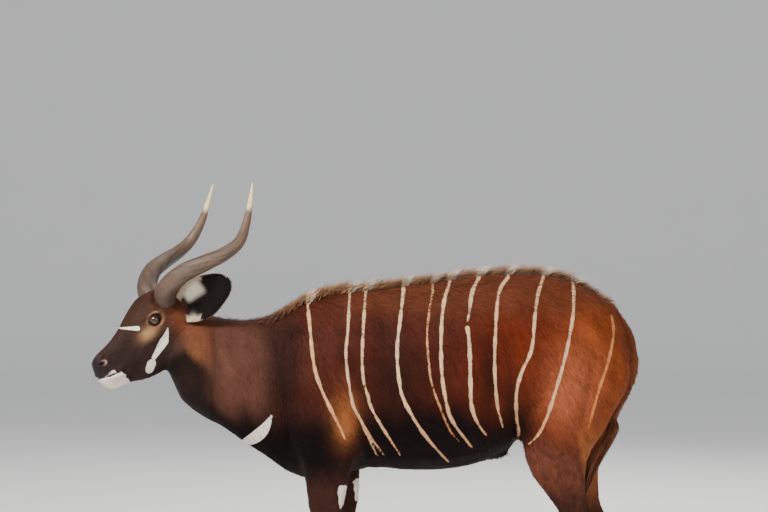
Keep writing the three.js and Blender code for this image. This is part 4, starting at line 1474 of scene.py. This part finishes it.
def scatter(mesh, count, weigh, seed, also=()):
    """Roots spread evenly over a mesh, as points, normals and named values, as densely as weigh() says."""
    points, normals, tri = coordinates(mesh), normals_of(mesh), triangles_of(mesh)
    corner = points[tri]
    centre = corner.mean(axis=1)
    area = np.linalg.norm(np.cross(corner[:, 1] - corner[:, 0], corner[:, 2] - corner[:, 0]), axis=1)
    cells = np.floor(centre / 0.03)
    order = np.lexsort((cells[:, 1], cells[:, 2], cells[:, 0]))
    total = np.cumsum((area * weigh(centre))[order])
    rng = np.random.default_rng(seed)
    at = (np.arange(count) + rng.random(count)) / count * total[-1]
    picked = tri[order[np.minimum(np.searchsorted(total, at), len(tri) - 1)]]
    a, b = np.sqrt(rng.random(count)), rng.random(count)
    share = np.stack([1 - a, a * (1 - b), a * b], axis=1)[:, :, None]
    made = [(points[picked] * share).sum(axis=1), unit((normals[picked] * share).sum(axis=1))]
    for name in also:
        values = np.empty(len(points), np.float32)
        mesh.attributes[name].data.foreach_get("value", values)
        made.append((values[picked] * share[:, :, 0]).sum(axis=1))
    return made


def blades(name, paths, side, over, width, flatness=0.24):
    """Closed blades along paths of points (tuft, ring, 3), wide across side and thin along over."""
    count, rings = paths.shape[:2]
    taper = np.cos(np.linspace(0, 0.5 * math.pi, rings)) ** 0.6
    half = (width[:, None] / 2 * taper[None, :])[:, :-1, None]
    body = paths[:, :-1]
    left = body + side[:, None, :] * half
    right = body - side[:, None, :] * half
    top = body + over[:, None, :] * half * 2 * flatness
    sides = np.stack([left, top, right], axis=2).reshape(count, -1, 3)
    made = np.concatenate([sides, paths[:, -1:]], axis=1)
    each = made.shape[1]
    faces = [(0, 1, 2)]
    for ring in range(rings - 2):
        a = 3 * ring
        for k in range(3):
            n = (k + 1) % 3
            faces += [(a + k, a + 3 + k, a + 3 + n), (a + k, a + 3 + n, a + n)]
    last = 3 * (rings - 2)
    faces += [(last + k, each - 1, last + (k + 1) % 3) for k in range(3)]
    faces = np.array(faces)
    one = made[0]
    volume = np.einsum("ij,ij->i", one[faces[:, 0]], np.cross(one[faces[:, 1]], one[faces[:, 2]])).sum()
    if volume < 0:
        faces = faces[:, ::-1]
    faces = (faces[None] + np.arange(count)[:, None, None] * each).reshape(-1, 3)
    mesh = mesh_of(name, made.reshape(-1, 3), faces, smooth=True)
    lean = np.concatenate([np.tile([0.6, 0.0, -0.6], rings - 1), [0.0]])
    soft = over[:, None, :] + side[:, None, :] * lean[None, :, None]
    mesh.normals_split_custom_set_from_vertices(unit(soft).reshape(-1, 3).astype(np.float32))
    return mesh, each


def bake_map(mesh, place_at, each):
    """A small patch for each tuft at its root's place on the unwrapped skin."""
    rows = (each - 1) // 3
    patch = []
    for ring in range(rows):
        up = BAKE_PATCH * ring / rows
        wide = BAKE_PATCH * 0.45 * (1 - 0.25 * ring)
        patch += [(-wide, up), (0, up + BAKE_PATCH * 0.15), (wide, up)]
    patch.append((0, BAKE_PATCH))
    spread = (place_at[:, None, :] + np.array(patch)[None]).reshape(-1, 2)
    corner = np.empty(len(mesh.loops), np.int32)
    mesh.loops.foreach_get("vertex_index", corner)
    layer = mesh.uv_layers.new(name="OFBake")
    layer.uv.foreach_set("vector", spread[corner].astype(np.float32).ravel())


def filled(values):
    """Values spread over 0.01 to 0.985."""
    low, high = values.min(), values.max()
    return 0.01 + 0.975 * (values - low) / (high - low)


def rolled(points, origin, axis, up):
    """Places on a cylinder unrolled about an axis: along it, and around it from below."""
    axis, away = unit(np.array(axis)), points - np.array(origin)
    up = unit(np.array(up) - (np.array(up) @ axis) * axis)
    around = np.arctan2(away @ np.cross(axis, up), away @ up)
    return np.stack([filled(away @ axis), filled(around)], axis=1)


def by_ring(values, count, rings):
    """One value for each ring of each tuft, given to the ring's three points and to the tip."""
    values = values.reshape(count, rings)
    return np.hstack([np.repeat(values[:, :-1], 3, axis=1), values[:, -1:]]).ravel()


def make_tufts(name, roots, normals, lie, length, width, lift, place_at, seed, colour=None, stray=0.15,
               rings=3):
    """Tufts that lie along the coat, with the markings of the place that they grow from."""
    rng = np.random.default_rng(seed)
    count = len(roots)
    lie = unit(lie - (lie * normals).sum(axis=1, keepdims=True) * normals)
    side = np.cross(normals, lie)
    lie = unit(lie + side * (stray * rng.standard_normal(count))[:, None])
    side = np.cross(normals, lie)
    length = length * (0.72 + 0.56 * rng.random(count))
    lift = lift * (0.6 + 0.8 * rng.random(count))
    t = np.linspace(0, 1, rings)
    rise = np.sin(t * math.pi / 2) ** 0.9
    sway = 0.10 * rng.standard_normal(count) * length
    paths = (roots[:, None] - normals[:, None] * SINK + lie[:, None] * (length[:, None] * t)[:, :, None]
             + normals[:, None] * ((lift + SINK)[:, None] * rise)[:, :, None]
             + side[:, None] * (sway[:, None] * t**2)[:, :, None])
    mesh, each = blades(name, paths, side, normals, width * (0.8 + 0.4 * rng.random(count)))
    distance, white = pale_distance(paths.reshape(-1, 3))
    along = np.concatenate([np.repeat(t[:-1], 3), [1.0]])
    shade = (0.84 + 0.32 * rng.random(count))[:, None] * (0.84 + 0.30 * along)[None, :]
    colour_tufts(
        mesh, each, roots, tone(roots) if colour is None else colour, by_ring(distance * 1000, count, rings),
        by_ring(white, count, rings), shade.ravel(), place_at)
    return mesh


def colour_tufts(mesh, each, roots, colour, distance, white, shade, place_at):
    """The values that the coat's material reads, and the place of each tuft on the bake map."""
    colour = np.hstack([colour, np.ones((len(roots), 1))])
    set_value(mesh, "tone", np.repeat(colour, each, axis=0), "FLOAT_COLOR")
    set_value(mesh, "pale_distance", distance)
    set_value(mesh, "whiteness", white)
    set_value(mesh, "comb", np.repeat(comb(roots), each, axis=0), "FLOAT_VECTOR")
    set_value(mesh, "shade", shade)
    bake_map(mesh, place_at, each)


def grow(name, slot, *tufts, **more):
    """A coat piece of tufts; the slot is not used."""
    finish_piece(object_of(name, make_tufts(name, *tufts, **more)), bpy.data.materials["hair_coat"], slot)


def hairy(points):
    """1 where hair grows, 0 on the nose, lips, lids and mouth."""
    u, _, w = head_place(points)
    on_face = head_share(points) > 0.5
    off_lids = np.ones(len(points))
    for at in EYE_AT.values():
        off_lids = off_lids * ramp(np.linalg.norm(points - at, axis=1), 0.027, 0.031)
    nose = (u > 0.235) & (w > -0.046)
    mouth = (np.abs(w - mouth_height(u)) < 0.005) & (u > 0.19)
    return np.where(on_face & (nose | mouth), 0.0, off_lids)


def crest_share(points):
    """1 along the ridge of the back, where the hair stands up."""
    near = ramp(-aside(points), -0.060, -0.020)
    return near * ramp(points[:, 2], 1.04, 1.10) * between(points[:, 0], -0.58, -0.40, 0.84, 0.93)


def lay_coat(name, skin, count, weigh, unwrap, length, width, lift, seed, **more):
    """A coat piece over part of the skin; length, width and lift are values, or functions of the roots."""
    roots, normals = scatter(skin, count, lambda p: weigh(p) * hairy(p), seed)
    sizes_here = [size(roots) if callable(size) else size for size in (length, width, lift)]
    grow(name, "trunk", roots, normals, flow(roots), *sizes_here, unwrap(roots), seed + 100, **more)


def trunk_length(points):
    """Hair is longest on the back and neck and shortest toward the legs."""
    full = sizes().tuft_length
    z = points[:, 2]
    share = 1 - 0.42 * ramp(-z, -0.75, -0.55)
    share = share + 0.25 * ramp(z, 1.08, 1.22) + 0.15 * ramp(-points[:, 0], 0.25, 0.35)
    share = share * (1 - 0.45 * ramp(points[:, 0], 0.84, 0.94))
    return full * share * (1 - 0.5 * near_head(points))


def near_head(points):
    """Rises from 0 to 1 over the last part of the neck."""
    u, _, w = head_place(points)
    return ramp(u - 0.35 * (w + 0.06), NECK_END - 0.20, NECK_END + 0.02) * ramp(-points[:, 0], 0.40, 0.58)


def on_trunk(points):
    x, z = points[:, 0], points[:, 2]
    legs = ramp(z - 0.04 * np.sin(9 * x), 0.56, 0.60)
    return legs * (1 - (head_share(points) > 0.5)) * ramp(x, -0.34, -0.32)


def on_neck(points):
    x, z = points[:, 0], points[:, 2]
    return ramp(-x, 0.30, 0.32) * (head_share(points) < 0.7) * ramp(z, 0.56, 0.60)


FORE_HIND_X = 0.3  # the fore legs are before it, the hind legs behind


def leg_roll(points):
    """The four legs unrolled side by side."""
    made = np.zeros((len(points), 2))
    made[:, 1] = filled(points[:, 2])
    for index, leg in enumerate(LEGS):
        hoof = middle(f"hoof_{leg}_outer")
        same = (np.sign(points[:, 1] - MIDDLE_Y) == np.sign(hoof[1] - MIDDLE_Y)) & (
            (points[:, 0] < FORE_HIND_X) == leg.startswith("front"))
        low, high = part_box(f"leg_{leg}")
        centre_x = (low.x + high.x) / 2
        angle = np.arctan2(points[:, 1] - hoof[1], points[:, 0] - centre_x) / (2 * math.pi) + 0.5
        made[:, 0] = np.where(same, (index + 0.02 + 0.94 * angle) / 4, made[:, 0])
    return made


class BONGO_OT_body_coat(bpy.types.Operator):
    """Tufts over the trunk and the neck"""

    bl_idname = "bongo.body_coat"
    bl_label = "Body coat"

    def execute(self, context):
        skin = bpy.data.objects["skin"].data
        count = sizes().body_tufts
        unwrap_trunk = lambda p: rolled(p, (0, MIDDLE_Y, 0.93), (1, 0, 0), (0, 0, 1))
        unwrap_neck = lambda p: rolled(p, (-0.45, MIDDLE_Y, 0.95), (-0.9, 0, 0.3), (0.3, 0, 0.9))
        neck_width = lambda p: 0.0025 * (1 - 0.45 * near_head(p))
        neck_lift = lambda p: 0.0048 * (1 - 0.65 * near_head(p))
        near_side = lambda p: on_trunk(p) * (p[:, 1] < MIDDLE_Y)
        far_side = lambda p: on_trunk(p) * (p[:, 1] >= MIDDLE_Y)
        lay_coat("coat_flank_left", skin, count, near_side, unwrap_trunk, trunk_length, 0.0030, 0.0034, 11)
        lay_coat("coat_flank_right", skin, count, far_side, unwrap_trunk, trunk_length, 0.0030, 0.0034, 12)
        lay_coat("coat_neck", skin, count, on_neck, unwrap_neck, trunk_length, neck_width, neck_lift, 13,
                 stray=0.2)
        return {"FINISHED"}


class BONGO_OT_leg_coat(bpy.types.Operator):
    """Short tufts over the legs and the tail"""

    bl_idname = "bongo.leg_coat"
    bl_label = "Leg coat"

    def execute(self, context):
        skin = bpy.data.objects["skin"].data
        below = lambda p: ramp(-p[:, 2] + 0.04 * np.sin(9 * p[:, 0]), -0.62, -0.58)
        low = lambda p: below(p) * ramp(p[:, 2], 0.062, 0.07)
        size = lambda p: 0.010 + 0.006 * ramp(p[:, 2], 0.3, 0.6) + 0.012 * ramp(-p[:, 2], -0.092, -0.074)
        lift = lambda p: 0.0018 + 0.0055 * ramp(-p[:, 2], -0.090, -0.074)
        for name, end, seed in (("coat_legs_front", -1, 21), ("coat_legs_hind", 1, 22)):
            weigh = lambda p: low(p) * (np.sign(p[:, 0] - FORE_HIND_X) == end)
            lay_coat(name, skin, LEG_TUFTS, weigh, leg_roll, size, 0.0022, lift, seed)
        return {"FINISHED"}


class BONGO_OT_head_coat(bpy.types.Operator):
    """Fine tufts over the face, smaller toward the nose"""

    bl_idname = "bongo.head_coat"
    bl_label = "Head coat"

    def execute(self, context):
        skin = bpy.data.objects["skin"].data
        unwrap = lambda p: rolled(p, HEAD_AT - 0.06 * HEAD_UP, HEAD_FORWARD, HEAD_UP)
        weigh = lambda p: (head_share(p) > 0.3) * (0.6 + 1.4 * ramp(head_place(p)[0], 0.0, 0.2))
        size = lambda p: 0.0125 - 0.0075 * ramp(head_place(p)[0], -0.10, 0.20)
        wide = lambda p: 0.0021 - 0.0009 * ramp(head_place(p)[0], -0.08, 0.20)
        lay_coat("coat_head", skin, HEAD_TUFTS, weigh, unwrap, size, wide, 0.0011, 31)
        return {"FINISHED"}


class BONGO_OT_crest(bpy.types.Operator):
    """The crest that stands along the neck and back"""

    bl_idname = "bongo.crest"
    bl_label = "Crest"

    def execute(self, context):
        skin = bpy.data.objects["skin"].data
        roots, normals = scatter(skin, CREST_TUFTS, crest_share, 41)
        rng = np.random.default_rng(42)
        share = ramp(roots[:, 0], -0.45, -0.20)
        length = 0.020 + 0.020 * share * ramp(-roots[:, 0], -0.90, -0.70)
        length = length * (0.6 + 0.6 * rng.random(len(roots)))
        up = unit(np.array([0.72, 0.0, 0.10]) + 0.10 * rng.standard_normal((len(roots), 3)))
        lift = length * (0.55 + 0.25 * rng.random(len(roots)))
        tan = blend(tone(roots), TONES["tan"], 0.95 * rng.random(len(roots)) ** 0.9 * share)
        place_at = np.stack([filled(roots[:, 0]), filled(roots[:, 1])], axis=1)
        top = pale_distance(roots)[0] < 0.010
        tan[top] = blend(tan[top], TONES["white"], 0.45 + 0.5 * rng.random(top.sum()))
        grow("coat_crest", "trunk", roots, normals, up, length, 0.0030, lift, place_at, 43, colour=tan,
             stray=0.25)
        return {"FINISHED"}


class BONGO_OT_ear_coat(bpy.types.Operator):
    """Short hair over the ears, and the long pale fringe inside them"""

    bl_idname = "bongo.ear_coat"
    bl_label = "Ear coat"

    def execute(self, context):
        for index, name in enumerate(SIDES):
            ear = Ear(name)
            mesh = bpy.data.objects[f"ear_{name}_skin"].data
            also = ("inside", "band", "rim", "reach", "across")
            covered = lambda p: ((p - ear.root) @ ear.along > 0.004).astype(float)
            picked = scatter(mesh, EAR_TUFTS, covered, 61 + index, also)
            roots, normals, inside, band, rim, reach, across = picked
            rng = np.random.default_rng(63 + index)
            colour = np.tile(TONES["neck"], (EAR_TUFTS, 1))
            colour = blend(colour, TONES["face"], 0.5 + 0.4 * rng.random(EAR_TUFTS))
            colour = blend(colour, TONES["black"], 0.95 * (inside > 0.5))
            colour = blend(colour, TONES["white"], np.clip(band * (inside > 0.5), 0, 1))
            colour = blend(colour, TONES["tan"], np.clip(rim, 0, 1))
            lie = ear.along + 0.35 * np.outer(across, ear.across)
            length = 0.0075 + 0.0035 * rng.random(EAR_TUFTS)
            place_at = np.stack(
                [0.01 + (index + 0.97 * reach) / 2.05, filled(across + 2.2 * (inside > 0.5))], axis=1)
            grow(f"coat_ear_{name}", "ear", roots, normals, lie, length, 0.0016, 0.0010, place_at,
                 65 + index, colour=colour)

            share = 0.04 + 0.50 * rng.random(EAR_FRINGE) ** 1.2
            edge = np.where(rng.random(EAR_FRINGE) < 0.84, -ear.side, ear.side)
            share = np.where(edge * ear.side > 0, 0.35 * share, share)
            t = edge * (0.98 - 0.30 * rng.random(EAR_FRINGE) ** 2)
            base = np.array(
                [ear.at(np.array([s]), np.array([k]), np.array([0.0]))[0] for s, k in zip(share, t)])
            inward = -np.sign(t)[:, None] * ear.across
            aim = 0.75 * inward + 0.75 * ear.along + 0.35 * ear.opening
            aim = unit(aim + 0.22 * rng.standard_normal((EAR_FRINGE, 3)))
            over = unit(np.tile(ear.opening, (EAR_FRINGE, 1)))
            size = (0.014 + 0.018 * rng.random(EAR_FRINGE)) * (1 - 0.5 * share)
            pale = np.tile(TONES["tan"], (EAR_FRINGE, 1))
            pale = blend(pale, TONES["white"], 0.4 + 0.6 * rng.random(EAR_FRINGE))
            place_at = np.stack([filled(share), filled(t)], axis=1)
            grow(f"coat_ear_fringe_{name}", "ear", base, over, aim, size, 0.0012, size * 0.15, place_at,
                 67 + index, colour=pale, stray=0.3)
        return {"FINISHED"}


class BONGO_OT_head_hair(bpy.types.Operator):
    """Longer hair round the horns' roots and on the chin, and the lashes"""

    bl_idname = "bongo.head_hair"
    bl_label = "Head hair"

    def execute(self, context):
        skin = bpy.data.objects["skin"].data
        for index, (name, side) in enumerate(SIDE_SIGN.items()):
            root, above = [on_head(u, side * v, w) for u, v, w in HORN_PATH[:2]]
            rise = unit(above - root)

            def ring(p, root=root, rise=rise):
                away = p - root
                flat = np.linalg.norm(away - np.outer(away @ rise, rise), axis=1)
                return ramp(flat, 0.034, 0.040) * ramp(-flat, -0.062, -0.052) * (np.abs(away @ rise) < 0.09)

            roots, normals = scatter(skin, COLLAR_TUFTS, ring, 71 + index)
            out = unit(roots - root - np.outer((roots - root) @ rise, rise))
            lie = 0.9 * rise - 0.35 * HEAD_FORWARD - 0.10 * out
            place_at = np.stack([filled(roots @ HEAD_FORWARD), filled(roots @ HEAD_LEFT)], axis=1)
            grow(f"coat_horn_root_{name}", "head", roots, normals, lie, COLLAR_LENGTH, 0.0022,
                 COLLAR_LENGTH * 0.35, place_at, 73 + index, colour=tone(roots) * 0.8, stray=0.2)

        def chin(p):
            u, _, w = head_place(p)
            return (mouth_height(u) - w > 0.012) * (u > 0.20)

        roots, normals = scatter(skin, CHIN_TUFTS, chin, 75)
        lie = np.tile(-0.85 * HEAD_FORWARD - 0.55 * HEAD_UP, (len(roots), 1))
        place_at = np.stack([filled(roots @ HEAD_FORWARD), filled(roots @ HEAD_LEFT)], axis=1)
        grow("coat_chin", "head", roots, normals, lie, CHIN_LENGTH, 0.0013, CHIN_LENGTH * 0.22, place_at, 76,
             stray=0.3)

        roots, overs, aims = [], [], []
        for name, at in EYE_AT.items():
            facing = SIDE_SIGN[name]
            for du in np.linspace(-0.92, 0.92, LASHES) * LID_WIDTH:
                dw = LID_HEIGHT * (1 - (du / LID_WIDTH) ** 2) ** 0.62 + 0.001
                dv = math.sqrt(EYE_RADIUS**2 - du**2 - dw**2) + 0.0012
                roots.append(at + du * HEAD_FORWARD + (dw - 0.1 * du) * HEAD_UP + facing * dv * HEAD_LEFT)
                outward = 0.9 * facing * HEAD_LEFT - 0.25 * HEAD_UP
                aims.append(outward + 0.5 * (du / LID_WIDTH) * HEAD_FORWARD)
                overs.append(unit(HEAD_UP + 0.3 * facing * HEAD_LEFT))
        roots, overs, aims = np.array(roots), np.array(overs), np.array(aims)
        place_at = np.stack([filled(roots[:, 0]), filled(roots[:, 1])], axis=1)
        dark = np.tile(TONES["black"], (len(roots), 1))
        grow("eyelashes", "head", roots, overs, aims, LASH_LENGTH, 0.0006, LASH_LENGTH * 0.35, place_at, 77,
             colour=dark)
        return {"FINISHED"}


class BONGO_OT_tail_tuft(bpy.types.Operator):
    """The dark tuft of long hair at the tail's end"""

    bl_idname = "bongo.tail_tuft"
    bl_label = "Tail tuft"

    def execute(self, context):
        low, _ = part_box("tail_tuft")
        rng = np.random.default_rng(51)
        skin = bpy.data.objects["skin"].data
        points, normals = coordinates(skin), normals_of(skin)
        tail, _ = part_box("tail")
        x, _, z = points.T
        end = (z < tail.z + 0.09) & (z > tail.z - 0.03) & (aside(points) < 0.032) & (x > tail.x - 0.02)
        picked = rng.choice(np.nonzero(end)[0], STRANDS)
        roots, out = points[picked], normals[picked]
        t = np.linspace(0, 1, 7)
        reach = (roots[:, 2] - low.z) * (0.55 + 0.44 * rng.random(STRANDS))
        fall = roots[:, 2, None] - reach[:, None] * t
        line_z, line_x = (low.z, 0.562, 0.640, 0.722), (0.806, 0.826, 0.852, 0.897)
        start_x = np.interp(roots[:, 2], line_z, line_x)
        swell = 0.020 * np.sin(math.pi * np.clip(t, 0, 1) ** 0.8)
        wide = 1 - 0.85 * t**1.6
        x = np.interp(fall, line_z, line_x) + (roots[:, 0] - start_x)[:, None] * wide
        x = x + out[:, 0, None] * swell * (0.4 + rng.random(STRANDS))[:, None]
        y = MIDDLE_Y + (roots[:, 1] - MIDDLE_Y)[:, None] * wide + out[:, 1, None] * swell
        y = y + 0.004 * np.sin(6 * t[None, :] + 7 * rng.random(STRANDS)[:, None]) * t
        paths = np.stack([x, y, fall], axis=2)
        paths[:, 0] -= out * 0.002
        side = unit(np.cross(out, np.array([0.0, 0.0, -1.0])) + 1e-6)
        mesh, each = blades("coat_tail_tuft", paths, side, out, np.full(STRANDS, 0.0042))
        colour = blend(np.tile(TONES["tail"], (STRANDS, 1)), TONES["black"], 0.9 * rng.random(STRANDS))
        around = np.arctan2(roots[:, 1] - MIDDLE_Y, roots[:, 0] - start_x)
        colour_tufts(
            mesh, each, roots, colour, np.full(STRANDS * each, 100.0), np.zeros(STRANDS * each),
            np.repeat(0.8 + 0.4 * rng.random(STRANDS), each),
            np.stack([filled(around), filled(roots[:, 2])], axis=1))
        piece = object_of("coat_tail_tuft", mesh)
        finish_piece(piece, bpy.data.materials["hair_coat"], "tail_tuft", "tail_tuft")
        return {"FINISHED"}


# Stage, in metres.
CAMERA_AWAY = 9.0
CAMERA_HEIGHT = 1.474
CAMERA_X = 0.061
CAMERA_AIM_Z = 1.365
CAMERA_REACH = 100
CAMERA_LENS = 112.5  # in millimetres
FRAME_WIDTH_MM = 36.0
# Each light: its name, its place, the height it aims at, its power in watts, its size and its colour.
LIGHTS = [
    ("key", (-3.2, -4.6, 5.2), 0.9, 760, 1.6, (1.0, 0.96, 0.90)),
    ("fill", (4.5, -5.5, 2.6), 0.9, 120, 4.0, (0.93, 0.96, 1.0)),
    ("back", (1.5, 4.5, 4.6), 1.0, 260, 3.0, (1.0, 0.98, 0.95)),
]
SKY_COLOUR = (0.92, 0.94, 1.0, 1)
SKY_STRENGTH = 0.62
FLOOR_HALF_WIDTH = 60.0
FLOOR_START = -50.0
FLOOR_END = 14.0  # where it begins to curve up
BEND = 5.0
BACKDROP_TOP = 30.0


def add_light(name, place_at, aim_z, energy, size, colour):
    data = bpy.data.lights.new(name, "AREA")
    data.energy = energy
    data.color = colour
    data.shape = "SQUARE"
    data.size = size
    light = object_of(name, data)
    light.location = place_at
    light.rotation_euler = (Vector((0, 0, aim_z)) - Vector(place_at)).to_track_quat("-Z", "Y").to_euler()


class BONGO_OT_stage(bpy.types.Operator):
    """A pale floor that curves up behind, soft lights, and the camera at the side"""

    bl_idname = "bongo.stage"
    bl_label = "Stage"

    def execute(self, context):
        profile = [(FLOOR_START, 0.0), (FLOOR_END, 0.0)]
        for a in np.linspace(0, math.pi / 2, 16):
            profile.append((FLOOR_END + BEND * math.sin(a), BEND * (1 - math.cos(a))))
        profile.append((FLOOR_END + BEND, BACKDROP_TOP))
        points = [(x, y, z) for y, z in profile for x in (-FLOOR_HALF_WIDTH, FLOOR_HALF_WIDTH)]
        floor = object_of("floor", mesh_of("floor", points, grid_faces(len(profile), 2, wrap=False)))
        floor.data.materials.append(stage_material())

        data = bpy.data.cameras.new("camera")
        data.lens = CAMERA_LENS
        data.sensor_width = FRAME_WIDTH_MM
        data.clip_end = CAMERA_REACH
        camera = object_of("camera", data)
        camera.location = (CAMERA_X, -CAMERA_AWAY, CAMERA_HEIGHT)
        aim = Vector((CAMERA_X, MIDDLE_Y, CAMERA_AIM_Z)) - camera.location
        camera.rotation_euler = aim.to_track_quat("-Z", "Y").to_euler()
        context.scene.camera = camera

        for light in LIGHTS:
            add_light(*light)
        world = bpy.data.worlds.new("studio")
        world.use_nodes = True
        sky = world.node_tree.nodes["Background"]
        sky.inputs["Color"].default_value = SKY_COLOUR
        sky.inputs["Strength"].default_value = SKY_STRENGTH
        context.scene.world = world
        return {"FINISHED"}


class BONGO_PT_panel(bpy.types.Panel):
    """Lists the steps that build the bull"""

    bl_label = "Bongo bull"
    bl_idname = "BONGO_PT_panel"
    bl_space_type = "VIEW_3D"
    bl_region_type = "UI"
    bl_category = "Bongo"

    def draw(self, context):
        for name in BongoSizes.__annotations__:
            self.layout.prop(context.scene.bongo_sizes, name)
        for operator in STEPS:
            self.layout.operator(operator.bl_idname)


STEPS = [
    BONGO_OT_skin, BONGO_OT_ears, BONGO_OT_horns, BONGO_OT_eyes, BONGO_OT_hooves, BONGO_OT_body_coat,
    BONGO_OT_leg_coat, BONGO_OT_head_coat, BONGO_OT_head_hair, BONGO_OT_ear_coat, BONGO_OT_crest,
    BONGO_OT_tail_tuft, BONGO_OT_stage,
]
CLASSES = [BongoSizes, *STEPS, BONGO_PT_panel]


def register():
    for item in CLASSES:
        bpy.utils.register_class(item)
    bpy.types.Scene.bongo_sizes = PointerProperty(type=BongoSizes)


def unregister():
    del bpy.types.Scene.bongo_sizes
    for item in reversed(CLASSES):
        bpy.utils.unregister_class(item)


def main():
    register()
    bpy.ops.bongo.skin()
    bpy.ops.bongo.ears()
    bpy.ops.bongo.horns()
    bpy.ops.bongo.eyes()
    bpy.ops.bongo.hooves()
    bpy.ops.bongo.body_coat()
    bpy.ops.bongo.leg_coat()
    bpy.ops.bongo.head_coat()
    bpy.ops.bongo.head_hair()
    bpy.ops.bongo.ear_coat()
    bpy.ops.bongo.crest()
    bpy.ops.bongo.tail_tuft()
    bpy.ops.bongo.stage()


if __name__ == "__main__":
    main()
